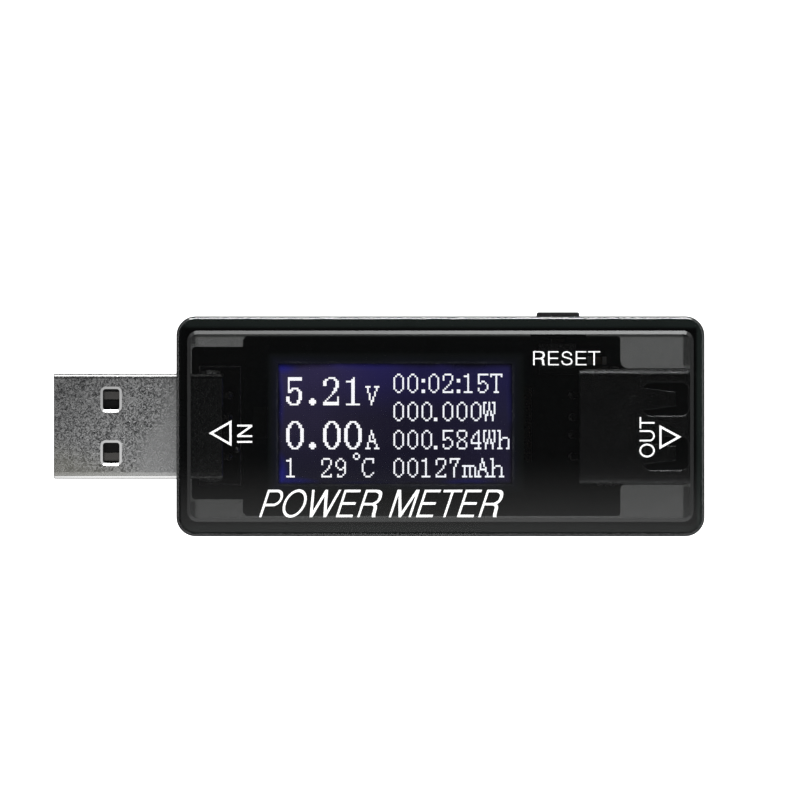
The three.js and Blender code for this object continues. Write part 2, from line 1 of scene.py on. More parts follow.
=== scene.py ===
# USB power meter: looks. Metres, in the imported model's own frame: origin at the centre of the
# case's back face, +X towards the socket, +Y towards the reset button's side, +Z out of the display.
import math

import bmesh
import bpy
from mathutils import Matrix, Vector
from mathutils.geometry import tessellate_polygon


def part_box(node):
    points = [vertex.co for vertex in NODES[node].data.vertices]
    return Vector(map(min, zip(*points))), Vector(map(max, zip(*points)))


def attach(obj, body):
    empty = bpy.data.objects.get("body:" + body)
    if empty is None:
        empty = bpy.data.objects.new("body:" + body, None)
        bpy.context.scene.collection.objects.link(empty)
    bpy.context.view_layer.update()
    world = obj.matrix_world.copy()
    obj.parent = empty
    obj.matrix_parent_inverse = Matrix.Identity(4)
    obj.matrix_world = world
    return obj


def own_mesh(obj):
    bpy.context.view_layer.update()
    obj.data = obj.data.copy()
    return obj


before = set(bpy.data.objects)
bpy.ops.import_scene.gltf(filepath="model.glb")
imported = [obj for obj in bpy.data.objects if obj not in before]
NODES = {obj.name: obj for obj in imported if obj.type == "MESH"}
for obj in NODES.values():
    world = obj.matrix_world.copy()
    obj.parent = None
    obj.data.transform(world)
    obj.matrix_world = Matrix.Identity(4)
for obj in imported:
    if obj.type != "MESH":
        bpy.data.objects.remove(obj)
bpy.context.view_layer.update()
MM = 0.001
SC = bpy.context.scene


# ------------------------------------------------------------------ node helpers
class Tree:
    """A material's node tree, with short calls for the nodes used here."""

    def __init__(self, name):
        self.m = bpy.data.materials.new(name)
        self.m.use_nodes = True
        self.nt = self.m.node_tree
        self.nt.nodes.clear()
        self.out = self.nt.nodes.new("ShaderNodeOutputMaterial")
        self._mm = None

    def node(self, kind, **props):
        n = self.nt.nodes.new(kind)
        for k, v in props.items():
            setattr(n, k, v)
        return n

    def link(self, a, b):
        self.nt.links.new(a, b)

    def put(self, socket, value):
        if hasattr(value, "is_linked") or isinstance(value, bpy.types.NodeSocket):
            self.link(value, socket)
        elif isinstance(value, (tuple, list)) and len(value) == 3 and len(socket.default_value) == 4:
            socket.default_value = (*value, 1.0)
        else:
            socket.default_value = value

    def mm(self):
        """Object coordinates in millimetres."""
        if self._mm is None:
            tc = self.node("ShaderNodeTexCoord")
            mp = self.node("ShaderNodeMapping")
            mp.inputs["Scale"].default_value = (1000, 1000, 1000)
            self.link(tc.outputs["Object"], mp.inputs["Vector"])
            self._mm = mp.outputs["Vector"]
        return self._mm

    def stretch(self, sx, sy, sz, vector=None):
        mp = self.node("ShaderNodeMapping")
        mp.inputs["Scale"].default_value = (sx, sy, sz)
        self.link(vector or self.mm(), mp.inputs["Vector"])
        return mp.outputs["Vector"]

    def xyz(self, vector=None):
        s = self.node("ShaderNodeSeparateXYZ")
        self.link(vector or self.mm(), s.inputs[0])
        return s.outputs

    def noise(self, scale, detail=3.0, rough=0.5, vector=None, distortion=0.0):
        n = self.node("ShaderNodeTexNoise")
        n.inputs["Scale"].default_value = scale
        n.inputs["Detail"].default_value = detail
        n.inputs["Roughness"].default_value = rough
        n.inputs["Distortion"].default_value = distortion
        self.link(vector or self.mm(), n.inputs["Vector"])
        return n.outputs["Fac"]

    def voronoi(self, scale, feature="F1", vector=None, out="Distance"):
        n = self.node("ShaderNodeTexVoronoi", feature=feature)
        n.inputs["Scale"].default_value = scale
        self.link(vector or self.mm(), n.inputs["Vector"])
        return n.outputs[out]

    def ramp(self, fac, stops, interpolation="LINEAR"):
        n = self.node("ShaderNodeValToRGB")
        n.color_ramp.interpolation = interpolation
        els = n.color_ramp.elements
        while len(els) < len(stops):
            els.new(0.5)
        for e, (p, c) in zip(els, stops):
            e.position = p
            e.color = (*c, 1.0) if isinstance(c, (tuple, list)) else (c, c, c, 1.0)
        self.put(n.inputs["Fac"], fac)
        return n.outputs["Color"]

    def remap(self, value, a, b, c, d, smooth=False):
        n = self.node("ShaderNodeMapRange")
        if smooth:
            n.interpolation_type = "SMOOTHSTEP"
        n.inputs["From Min"].default_value = a
        n.inputs["From Max"].default_value = b
        n.inputs["To Min"].default_value = c
        n.inputs["To Max"].default_value = d
        self.put(n.inputs["Value"], value)
        return n.outputs["Result"]

    def math(self, op, a, b=None, clamp=False):
        n = self.node("ShaderNodeMath", operation=op, use_clamp=clamp)
        self.put(n.inputs[0], a)
        if b is not None:
            self.put(n.inputs[1], b)
        return n.outputs[0]

    def mix(self, fac, a, b, blend="MIX"):
        n = self.node("ShaderNodeMix", data_type="RGBA", blend_type=blend)
        self.put(n.inputs["Factor"], fac)
        self.put(n.inputs[6], a)
        self.put(n.inputs[7], b)
        return n.outputs[2]

    def bump(self, height, strength=0.2, distance=0.02, normal=None):
        n = self.node("ShaderNodeBump")
        n.inputs["Strength"].default_value = strength
        n.inputs["Distance"].default_value = distance * MM
        self.put(n.inputs["Height"], height)
        if normal is not None:
            self.link(normal, n.inputs["Normal"])
        return n.outputs["Normal"]

    def bsdf(self, **values):
        p = self.node("ShaderNodeBsdfPrincipled")
        for k, v in values.items():
            self.put(p.inputs[k.replace("_", " ")], v)
        self.link(p.outputs[0], self.out.inputs["Surface"])
        return p


# ------------------------------------------------------------------ materials
def smoke_case():
    """Smoke-tinted clear polycarbonate: polished, with faint moulding flow, fine handling marks and a painted glow
    along its walls.
    """
    t = Tree("smoke_case")
    flow = t.noise(0.12, 2, 0.5, t.stretch(1, 0.35, 1), 0.6)
    hair = t.noise(9.0, 2, 0.6, t.stretch(0.12, 2.4, 1))
    rough = t.remap(t.math("ADD", flow, t.math("MULTIPLY", hair, 0.35)), 0.45, 1.0, 0.003, 0.022)
    # painted glow: emission along the thick side and end walls, where they're seen end on, stands in for light
    # scattered in them
    s = t.xyz()
    far = t.remap(s["Y"], 11.0, 11.5, 0.0, 1.15, True)
    near = t.remap(s["Y"], -11.0, -11.5, 0.0, 0.4, True)
    end = t.remap(s["X"], 28.9, 29.3, 0.0, 0.9, True)
    tip = t.remap(s["X"], -28.9, -29.3, 0.0, 0.12, True)
    painted_wall_glow = t.math("MULTIPLY", t.math("MAXIMUM", t.math("MAXIMUM", far, near), t.math("MAXIMUM", end, tip)), t.remap(flow, 0.3, 0.7, 0.75, 1.2))
    painted_wall_glow = t.math("MULTIPLY", painted_wall_glow, t.remap(s["X"], -29.6, -28.4, 0.25, 1.0, True))
    glow = t.mix(painted_wall_glow, (0, 0, 0), (0.0085, 0.0118, 0.0108))
    t.bsdf(Base_Color=(0.98, 0.983, 0.981), Roughness=rough, Transmission_Weight=1.0, IOR=1.585, Emission_Color=glow, Emission_Strength=1.0)
    v = t.node("ShaderNodeVolumeAbsorption")
    v.inputs["Color"].default_value = (0.124, 0.128, 0.1268, 1)
    v.inputs["Density"].default_value = 1080.0
    t.link(v.outputs[0], t.out.inputs["Volume"])
    return t.m


def moulded(name, base, roughness=0.45, grain=7.0, lift=0.35, bump=0.12):
    """Moulded plastic: fine spark-eroded grain, slow tone change and rubbed high spots."""
    t = Tree(name)
    slow = t.noise(0.25, 3, 0.55)
    fine = t.noise(grain, 4, 0.6)
    dark = tuple(c * (1 - lift) for c in base)
    light = tuple(min(1, c * (1 + lift) + 0.004) for c in base)
    col = t.mix(t.remap(t.math("ADD", t.math("MULTIPLY", slow, 0.6), t.math("MULTIPLY", fine, 0.4)), 0.35, 0.65, 0, 1), dark, light)
    rough = t.remap(fine, 0.3, 0.7, roughness - 0.08, roughness + 0.1)
    t.bsdf(Base_Color=col, Roughness=rough, Normal=t.bump(fine, bump, 0.03))
    return t.m


def nickel(name, base, roughness, mottle=0.5, bump=0.3):
    """Nickel-plated sheet steel: a satin crystalline mottle, drawing lines along X and soft stains."""
    t = Tree(name)
    grain = t.noise(3.1, 5, 0.72)
    cell = t.voronoi(4.2)
    lines = t.noise(5.0, 2, 0.5, t.stretch(0.08, 1.6, 1.6))
    stain = t.noise(0.16, 3, 0.6, distortion=0.8)
    g = t.math("ADD", t.math("MULTIPLY", grain, 0.7), t.math("MULTIPLY", cell, 0.45))
    g = t.math("ADD", g, t.math("MULTIPLY", lines, 0.12))
    lo = tuple(c * (1 - mottle) for c in base)
    hi = tuple(min(1, c * (1 + mottle * 0.6)) for c in base)
    col = t.mix(t.remap(g, 0.42, 0.72, 0, 1), lo, hi)
    col = t.mix(t.remap(stain, 0.42, 0.66, 0.0, 0.4, True), col, tuple(c * 0.62 for c in base))
    rough = t.math("ADD", t.remap(g, 0.4, 0.75, roughness + 0.1, roughness - 0.06), t.remap(stain, 0.4, 0.7, 0.0, 0.08))
    t.bsdf(Base_Color=col, Metallic=1.0, Roughness=rough, Normal=t.bump(g, bump, 0.02))
    return t.m


def plug_nickel():
    """Satin nickel over drawn steel: a wormy orange-peel grain, strongest towards the tip and the
    button's side, polished smoother where the shell enters the case and towards the other side."""
    t = Tree("plug_steel")
    s = t.xyz()
    wander = t.noise(2.7, 2, 0.5, distortion=0.8)
    worm = t.remap(t.math("ABSOLUTE", t.math("SUBTRACT", wander, 0.5)), 0.0, 0.085, 0.0, 1.0)
    fine = t.noise(5.5, 2, 0.6)
    cloud = t.noise(0.22, 3, 0.55, distortion=0.5)
    # 1 where the grain is strong, 0 on the rubbed area near the case and at the lower side
    reach = t.math("ADD", t.math("MULTIPLY", t.math("ADD", s["X"], 33.2), -0.34), t.math("MULTIPLY", s["Y"], 0.17))
    strong = t.remap(t.math("ADD", reach, t.math("MULTIPLY", t.math("SUBTRACT", cloud, 0.5), 2.2)), -0.8, 0.4, 0.22, 1.0, True)
    g = t.math("ADD", t.math("MULTIPLY", worm, 0.62), t.math("MULTIPLY", fine, 0.55))
    tone = t.remap(g, 0.30, 0.92, 0, 1)
    col = t.mix(tone, (0.040, 0.041, 0.044), (0.66, 0.66, 0.66))
    col = t.mix(t.math("SUBTRACT", 1.0, strong), col, (0.52, 0.52, 0.52))
    # painted light and shade: lighter on the side away from the button, darker towards the upper left of the tip and
    # darker inside the case
    side = t.remap(s["Y"], -6, 6, 1.22, 0.88)
    upper = t.remap(t.math("SUBTRACT", t.math("MULTIPLY", s["Y"], 0.5), s["X"]), 36.0, 45.0, 1.0, 0.74, True)
    inside = t.remap(s["X"], -30.05, -29.6, 1.0, 0.55)
    # painted highlight: bends and hole rims get a bright base colour in place of their reflections, with a painted dark
    # line where the button side's bend begins and a painted highlight as a pale strip along the other side
    geo = t.node("ShaderNodeNewGeometry")
    up = t.math("ABSOLUTE", t.xyz(geo.outputs["Normal"])["Z"])
    bend = t.remap(up, 0.985, 0.93, 0.0, 1.0, True)
    pale = t.remap(s["Y"], -5.22, -5.36, 0.0, 1.0, True)
    painted_dark_line = t.math("MULTIPLY", t.remap(s["Y"], 5.40, 5.48, 0.0, 1.0, True), t.remap(s["Y"], 5.54, 5.61, 1.0, 0.0, True))
    level = t.math("MULTIPLY", t.math("MULTIPLY", side, inside), t.math("MULTIPLY", upper, t.remap(painted_dark_line, 0, 1, 1.0, 0.36)))
    # painted shade: the bends darken where they turn down into the narrow sides
    turn = t.remap(t.math("ABSOLUTE", s["Y"]), 5.40, 5.50, 0.0, 1.0, True)
    painted_turn_shade = t.math("MULTIPLY", turn, t.remap(up, 0.62, 0.48, 0.0, 1.0, True))
    level = t.math("MULTIPLY", level, t.remap(painted_turn_shade, 0, 1, 1.0, 0.12))
    # painted shade: past Y 5.5 the button side's bend is darker, and the bends that don't turn down are dimmed
    tall = t.remap(s["Y"], 5.40, 5.50, 1.0, 0.42)
    level = t.math("MULTIPLY", level, t.math("MAXIMUM", tall, t.math("SUBTRACT", 1.0, bend)))
    level = t.math("MULTIPLY", level, t.remap(t.math("MULTIPLY", bend, t.math("SUBTRACT", 1.0, turn)), 0, 1, 1.0, 0.62))
    shade = t.node("ShaderNodeMix", data_type="RGBA", blend_type="MULTIPLY")
    shade.inputs["Factor"].default_value = 1.0
    t.link(t.mix(t.math("MAXIMUM", bend, pale), col, (0.76, 0.76, 0.75)), shade.inputs[6])
    grey = t.node("ShaderNodeCombineColor")
    for k in range(3):
        t.link(level, grey.inputs[k])
    t.link(grey.outputs[0], shade.inputs[7])
    warm = t.remap(t.math("ADD", s["Y"], t.math("MULTIPLY", s["X"], 0.35)), -20.0, -16.0, 0.5, 0.0, True)
    col = t.mix(t.math("MULTIPLY", warm, t.math("SUBTRACT", 1.0, bend)), shade.outputs[2], (0.46, 0.45, 0.38))
    rough = t.math("MULTIPLY", t.remap(g, 0.35, 0.95, 0.38, 0.26), t.remap(t.math("MULTIPLY", bend, t.remap(s["Y"], 5.40, 5.50, 1.0, 0.0)), 0, 1, 1.0, 0.42))
    height = t.math("MULTIPLY", t.math("MULTIPLY", g, strong), t.math("SUBTRACT", 1.0, t.math("MAXIMUM", bend, pale)))
    t.bsdf(Base_Color=col, Metallic=1.0, Roughness=rough, Normal=t.bump(height, 0.5, 0.03))
    return t.m


def gold(name, bright, worn):
    """Gold flash over phosphor bronze, with wear streaks along the contact."""
    t = Tree(name)
    streak = t.noise(3.0, 3, 0.6, t.stretch(0.15, 3.0, 1))
    col = t.mix(t.remap(streak, 0.4, 0.7, 0, 0.7), bright, worn)
    # painted shade: near X 15.2, under the socket, the contacts' legs are darkened almost to black
    leg = t.remap(t.math("ABSOLUTE", t.math("SUBTRACT", t.xyz()["X"], 15.2)), 1.3, 1.0, 0.0, 1.0)
    col = t.mix(leg, col, (0.035, 0.034, 0.032))
    t.bsdf(Base_Color=col, Metallic=1.0, Roughness=t.remap(streak, 0.35, 0.7, 0.1, 0.24), Normal=t.bump(streak, 0.1, 0.004))
    return t.m


def board():
    """Black solder mask over copper: buried tracks lift the surface, cut edges show pale glass fibre."""
    t = Tree("board")
    geo = t.node("ShaderNodeNewGeometry")
    n = t.xyz(geo.outputs["Normal"])
    side = t.remap(t.math("ABSOLUTE", n["Z"]), 0.3, 0.6, 1.0, 0.0)
    brick = t.node("ShaderNodeTexBrick")
    brick.offset = 0.37
    brick.squash = 0.7
    for key, val in (("Scale", 0.62), ("Mortar Size", 0.035), ("Mortar Smooth", 0.35), ("Brick Width", 1.15), ("Row Height", 0.42)):
        brick.inputs[key].default_value = val
    t.link(t.mm(), brick.inputs["Vector"])
    tracks = brick.outputs["Fac"]
    weave = t.noise(2.2, 4, 0.6)
    via = t.remap(t.voronoi(0.5), 0.10, 0.17, 1.0, 0.0)
    mask = t.mix(t.remap(weave, 0.35, 0.65, 0, 1), (0.0045, 0.006, 0.0055), (0.0095, 0.0125, 0.0115))
    mask = t.mix(t.math("MULTIPLY", tracks, 0.5), mask, (0.014, 0.019, 0.017))
    mask = t.mix(t.math("MULTIPLY", via, 0.55), mask, (0.03, 0.03, 0.026))
    fibre = t.mix(t.noise(5.0, 3, 0.7, t.stretch(1, 1, 6)), (0.16, 0.15, 0.11), (0.42, 0.40, 0.31))
    col = t.mix(side, mask, fibre)
    rough = t.math("ADD", t.remap(weave, 0.3, 0.7, 0.28, 0.42), t.math("MULTIPLY", side, 0.35))
    h = t.math("ADD", t.math("MULTIPLY", tracks, -0.6), t.math("MULTIPLY", weave, 0.25))
    t.bsdf(Base_Color=col, Roughness=rough, Normal=t.bump(h, 0.35, 0.035))
    return t.m


def tinned_ends(name, core, half, axis_x=True, base=(0.03, 0.03, 0.032)):
    """Chip part: body colour in the middle, tinned caps past `core` millimetres from its centre."""
    t = Tree(name)
    gen = t.node("ShaderNodeTexCoord").outputs["Generated"]
    s = t.xyz(gen)
    along = s["X"] if axis_x else s["Y"]
    edge = t.math("ABSOLUTE", t.math("SUBTRACT", along, 0.5))
    cap = t.remap(edge, core - 0.01, core + 0.01, 0.0, 1.0)
    fine = t.noise(6.0, 4, 0.6)
    body = t.mix(t.remap(fine, 0.3, 0.7, 0, 1), tuple(c * 0.75 for c in base), tuple(min(1, c * 1.25) for c in base))
    tin = t.mix(t.remap(fine, 0.3, 0.7, 0, 1), (0.46, 0.46, 0.45), (0.68, 0.68, 0.66))
    t.bsdf(Base_Color=t.mix(cap, body, tin), Metallic=cap, Roughness=t.remap(fine, 0.3, 0.7, 0.3, 0.5), Normal=t.bump(fine, 0.12, 0.02))
    return t.m


def leaded(name, w, d, cx, cy, four=False):
    """Black moulded package in the middle, tinned leads outside the body's outline (millimetres)."""
    t = Tree(name)
    s = t.xyz()
    ox = t.math("ABSOLUTE", t.math("SUBTRACT", s["X"], cx))
    oy = t.math("ABSOLUTE", t.math("SUBTRACT", s["Y"], cy))
    out = t.math("GREATER_THAN", oy, d / 2 + 0.01)
    if four:
        out = t.math("MAXIMUM", out, t.math("GREATER_THAN", ox, w / 2 + 0.01))
    fine = t.noise(8.0, 4, 0.6)
    dot = t.math("LESS_THAN", t.math("ADD", t.math("POWER", t.math("SUBTRACT", s["X"], cx - w / 2 + 0.5), 2), t.math("POWER", t.math("SUBTRACT", s["Y"], cy - d / 2 + 0.5), 2)), 0.04)
    body = t.mix(t.remap(fine, 0.3, 0.7, 0, 1), (0.012, 0.012, 0.013), (0.026, 0.026, 0.028))
    body = t.mix(t.math("MULTIPLY", dot, 0.5), body, (0.07, 0.07, 0.07))
    tin = t.mix(fine, (0.5, 0.5, 0.49), (0.7, 0.7, 0.68))
    t.bsdf(Base_Color=t.mix(out, body, tin), Metallic=out, Roughness=t.remap(fine, 0.3, 0.7, 0.35, 0.55), Normal=t.bump(fine, 0.15, 0.02))
    return t.m


def foam():
    t = Tree("foam")
    cells = t.voronoi(5.0)
    fine = t.noise(10, 3, 0.6)
    col = t.mix(t.remap(cells, 0.1, 0.6, 0, 1), (0.006, 0.006, 0.006), (0.028, 0.028, 0.029))
    t.bsdf(Base_Color=col, Roughness=0.95, Normal=t.bump(t.math("ADD", cells, fine), 0.6, 0.08))
    return t.m


def clear_glass():
    t = Tree("display_glass")
    n = t.noise(0.3, 2)
    t.bsdf(Base_Color=(0.96, 0.98, 0.98), Roughness=t.remap(n, 0.3, 0.7, 0.01, 0.04), Transmission_Weight=1.0, IOR=1.5)
    return t.m


def flex_film():
    t = Tree("flex_film")
    s = t.xyz()
    lanes = t.math("SINE", t.math("MULTIPLY", s["Y"], 18.0))
    n = t.noise(3, 3)
    col = t.mix(t.remap(lanes, -0.2, 0.3, 0, 1), (0.020, 0.014, 0.009), (0.036, 0.025, 0.016))
    col = t.mix(t.math("MULTIPLY", n, 0.4), col, (0.012, 0.009, 0.007))
    t.bsdf(Base_Color=col, Roughness=t.remap(n, 0.3, 0.7, 0.2, 0.4), Normal=t.bump(lanes, 0.15, 0.01))
    return t.m


def bezel():
    """Black frame round the display; stray blue-violet light from the film tints it near the opening."""
    t = Tree("lcd_bezel")
    s = t.xyz()
    fine = t.noise(9.0, 4, 0.6)
    slow = t.noise(0.35, 2, 0.5)
    col = t.mix(t.remap(fine, 0.3, 0.7, 0, 1), (0.0065, 0.0068, 0.0072), (0.0125, 0.013, 0.0138))

    def past(v, low, high):
        return t.math("MAXIMUM", t.math("SUBTRACT", low, v), t.math("SUBTRACT", v, high))
    out = t.math("MAXIMUM", past(s["X"], -18.4, 8.1), past(s["Y"], -6.5, 7.1))
    spill = t.remap(out, 0.0, 1.3, 1.0, 0.0, True)
    spill = t.math("MULTIPLY", spill, t.remap(slow, 0.3, 0.7, 0.5, 1.2))
    left = t.remap(s["X"], -19.5, -12.0, 1.0, 0.55)
    glow = t.mix(t.math("MULTIPLY", spill, left), (0.0075, 0.0105, 0.0095), (0.022, 0.024, 0.052))
    t.bsdf(Base_Color=col, Roughness=t.remap(fine, 0.3, 0.7, 0.32, 0.48), Emission_Color=glow, Emission_Strength=1.0, Normal=t.bump(fine, 0.1, 0.03))
    return t.m


def light_guide():
    t = Tree("light_guide")
    dots = t.voronoi(2.2)
    n = t.noise(0.6, 2)
    col = t.mix(t.remap(dots, 0.1, 0.5, 0, 1), (0.72, 0.74, 0.92), (0.5, 0.53, 0.86))
    p = t.bsdf(Base_Color=col, Roughness=t.remap(n, 0.3, 0.7, 0.25, 0.4), Emission_Color=(0.12, 0.12, 0.9), Emission_Strength=0.12)
    return t.m


def polariser():
    """Negative dot-matrix display: a violet glow, brightest at the upper left and weakest right of the
    middle, with blue light leaking in at the left edge, its corners and parts of the lower edge."""
    t = Tree("polariser")
    s = t.xyz()
    x, y = s["X"], s["Y"]
    haze = t.noise(0.16, 3, 0.55, distortion=0.4)
    u = t.remap(x, -18.4, 8.2, 0.0, 1.0)
    across = t.ramp(u, [(0.0, (0.088, 0.072, 0.178)), (0.16, (0.084, 0.068, 0.175)), (0.34, (0.060, 0.050, 0.122)),
                        (0.52, (0.042, 0.034, 0.098)), (0.72, (0.042, 0.034, 0.108)), (0.88, (0.058, 0.048, 0.150)), (1.0, (0.058, 0.052, 0.150))])
    top = t.ramp(u, [(0.0, (0.138, 0.108, 0.340)), (0.2, (0.128, 0.098, 0.330)), (0.42, (0.080, 0.062, 0.380)),
                     (0.62, (0.054, 0.042, 0.270)), (1.0, (0.060, 0.050, 0.270))])
    low = t.ramp(u, [(0.0, (0.036, 0.036, 0.092)), (0.2, (0.038, 0.033, 0.085)), (0.45, (0.026, 0.024, 0.066)),
                     (0.7, (0.034, 0.028, 0.080)), (1.0, (0.056, 0.044, 0.130))])
    col = t.mix(t.remap(y, 0.5, 7.0, 0, 1, True), across, top)
    col = t.mix(t.remap(y, 0.5, -6.2, 0, 1, True), col, low)
    col = t.mix(t.remap(haze, 0.3, 0.7, 0.0, 0.22), col, (0.030, 0.028, 0.070))

    def blob(cx, cy, rx, ry, amount):
        dx = t.math("DIVIDE", t.math("SUBTRACT", x, cx), rx)
        dy = t.math("DIVIDE", t.math("SUBTRACT", y, cy), ry)
        d = t.math("SQRT", t.math("ADD", t.math("POWER", t.math("ABSOLUTE", dx), 2.0), t.math("POWER", t.math("ABSOLUTE", dy), 2.0)))
        return t.remap(d, 0.0, 1.0, amount, 0.0, True)

    leaks = [blob(-18.2, 7.0, 2.6, 1.5, 0.95), blob(-18.5, 3.0, 1.0, 5.5, 0.55), blob(-18.3, -5.8, 1.3, 3.4, 0.9),
             blob(-17.0, -6.6, 4.0, 1.0, 0.75), blob(3.2, -6.7, 4.4, 0.95, 0.55), blob(-8.5, 7.2, 7.0, 1.0, 0.35), blob(8.3, 3.0, 1.0, 5.0, 0.22),
             blob(-9.0, -6.8, 6.0, 0.7, 0.28)]
    total = leaks[0]
    for b in leaks[1:]:
        total = t.math("MAXIMUM", total, b)
    col = t.mix(total, col, (0.050, 0.048, 0.86))
    # soft, slightly wavy fade under the frame's edge
    wave = t.math("MULTIPLY", t.math("SUBTRACT", haze, 0.5), 0.9)
    fade = t.remap(t.math("ADD", x, wave), -18.55, -18.0, 0.05, 1.0, True)
    fade = t.math("MULTIPLY", fade, t.remap(t.math("ADD", x, wave), 8.25, 7.5, 0.05, 1.0, True))
    fade = t.math("MULTIPLY", fade, t.remap(t.math("ADD", y, wave), 7.25, 6.45, 0.06, 1.0, True))
    fade = t.math("MULTIPLY", fade, t.remap(t.math("ADD", y, wave), -6.7, -6.15, 0.06, 1.0, True))

    # grid of unlit dots, five to the millimetre
    def lines(v, phase):
        f = t.math("FRACT", t.math("MULTIPLY", t.math("ADD", v, phase), 5.0))
        return t.remap(t.math("ABSOLUTE", t.math("SUBTRACT", f, 0.5)), 0.34, 0.5, 0.0, 1.0)
    grid = t.math("MAXIMUM", lines(x, 18.0), lines(y, 18.0))
    glow = t.mix(t.math("MULTIPLY", grid, 0.3), col, (0.004, 0.005, 0.012))
    dim = t.node("ShaderNodeCombineColor")
    for k in range(3):
        t.link(fade, dim.inputs[k])
    glow = t.mix(1.0, glow, dim.outputs[0], "MULTIPLY")
    film = t.mix(t.remap(haze, 0.3, 0.7, 0, 1), (0.006, 0.006, 0.016), (0.010, 0.010, 0.026))
    t.bsdf(Base_Color=film, Roughness=t.remap(haze, 0.3, 0.7, 0.16, 0.3), Emission_Color=glow, Emission_Strength=1.0)
    return t.m


def lit_dot():
    """Lit dots of the display: near-white, a little cooler where the light guide is weaker."""
    t = Tree("lit_dot")
    n = t.noise(0.2, 2)
    x = t.xyz()["X"]
    cool = t.remap(x, -18, 8, 0, 1)
    col = t.mix(cool, (1.0, 0.98, 1.0), (0.93, 0.95, 1.0))
    col = t.mix(t.remap(n, 0.35, 0.65, 0.0, 0.25), col, (0.82, 0.84, 1.0))
    t.bsdf(Base_Color=(0.8, 0.8, 0.82), Roughness=0.4, Emission_Color=col, Emission_Strength=4.8)
    return t.m


def ink():
    """White screen-printed ink: slightly uneven film, with a painted white glow."""
    t = Tree("label_ink")
    n = t.noise(4.0, 4, 0.65)
    col = t.mix(t.remap(n, 0.3, 0.75, 0, 1), (0.93, 0.93, 0.93), (0.84, 0.85, 0.85))
    # painted light: the ink glows white a little
    t.bsdf(Base_Color=col, Roughness=t.remap(n, 0.3, 0.7, 0.45, 0.6), Emission_Color=(1, 1, 1), Emission_Strength=0.62, Normal=t.bump(n, 0.1, 0.01))
    return t.m


def solder():
    t = Tree("solder")
    n = t.noise(2.0, 4, 0.6)
    col = t.mix(t.remap(n, 0.3, 0.7, 0, 1), (0.26, 0.26, 0.255), (0.40, 0.40, 0.39))
    t.bsdf(Base_Color=col, Metallic=1.0, Roughness=t.remap(n, 0.3, 0.7, 0.2, 0.34), Normal=t.bump(n, 0.15, 0.03))
    return t.m


def use(node, material):
    me = NODES[node].data
    if not me.materials:
        me.materials.append(material)
    for i in range(len(me.materials)):
        me.materials[i] = material


SMOKE = smoke_case()
BLACK = moulded("connector_plastic", (0.011, 0.011, 0.012), 0.42)
PLUG_STEEL = plug_nickel()
SOCKET_STEEL = nickel("socket_steel", (0.30, 0.30, 0.305), 0.13, 0.12, 0.015)
GOLD = gold("gold_contact", (0.80, 0.64, 0.36), (0.60, 0.53, 0.42))
# painted shade: the plug's contacts are gold darkened almost to black, standing in for the shade in the plug's recess
SHADED_GOLD = gold("shaded_contact", (0.22, 0.21, 0.20), (0.12, 0.118, 0.115))
for n in ("top_cover", "bottom_cover"):
    use(n, SMOKE)
use("reset_button", moulded("reset_button", (0.010, 0.010, 0.0105), 0.16, 9.0, 0.3, 0.05))
use("circuit_board", board())
use("plug_shell", PLUG_STEEL)
for n in ("socket_shell", "switch_cover", "switch_dome", "crystal"):
    use(n, SOCKET_STEEL)
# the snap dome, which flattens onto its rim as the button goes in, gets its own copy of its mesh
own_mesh(bpy.data.objects["switch_dome"])
for n in ("plug_insulator", "socket_insulator", "switch_body"):
    use(n, BLACK)
use("flex_connector", moulded("flex_connector", (0.05, 0.045, 0.038), 0.5))
use("lcd_bezel", bezel())
for i in range(1, 5):
    use(f"plug_contact_{i}", SHADED_GOLD)
    use(f"socket_contact_{i}", GOLD)
use("lcd_backlight", light_guide())
use("lcd_polariser", polariser())
GLASS = clear_glass()
use("lcd_front_glass", GLASS)
use("lcd_rear_glass", GLASS)
use("lcd_flex", flex_film())
FOAM = foam()
use("lcd_foam_pad_1", FOAM)
use("lcd_foam_pad_2", FOAM)
use("backlight_led", moulded("led_package", (0.03, 0.03, 0.031), 0.4))
use("switch_plunger", moulded("plunger_plastic", (0.035, 0.022, 0.015), 0.4))
use("microcontroller", leaded("microcontroller", 5, 5, -9.5, 0.4, True))
use("current_amplifier", leaded("current_amplifier", 3, 3, -0.4, 1.8))
use("memory_chip", leaded("memory_chip", 3, 3, -15.6, 0.4))
use("voltage_regulator", leaded("voltage_regulator", 2.9, 1.6, -4.6, -1.8))
use("shunt_resistor", tinned_ends("shunt_resistor", 0.28, 0.5))
RESISTOR = tinned_ends("resistor", 0.28, 0.5)
for n in ("divider_resistor_1", "divider_resistor_2", "data_resistor_1", "data_resistor_2"):
    use(n, RESISTOR)
CERAMIC = tinned_ends("ceramic", 0.28, 0.5, True, (0.20, 0.14, 0.09))
for n in ("input_capacitor", "output_capacitor", "regulator_capacitor"):
    use(n, CERAMIC)

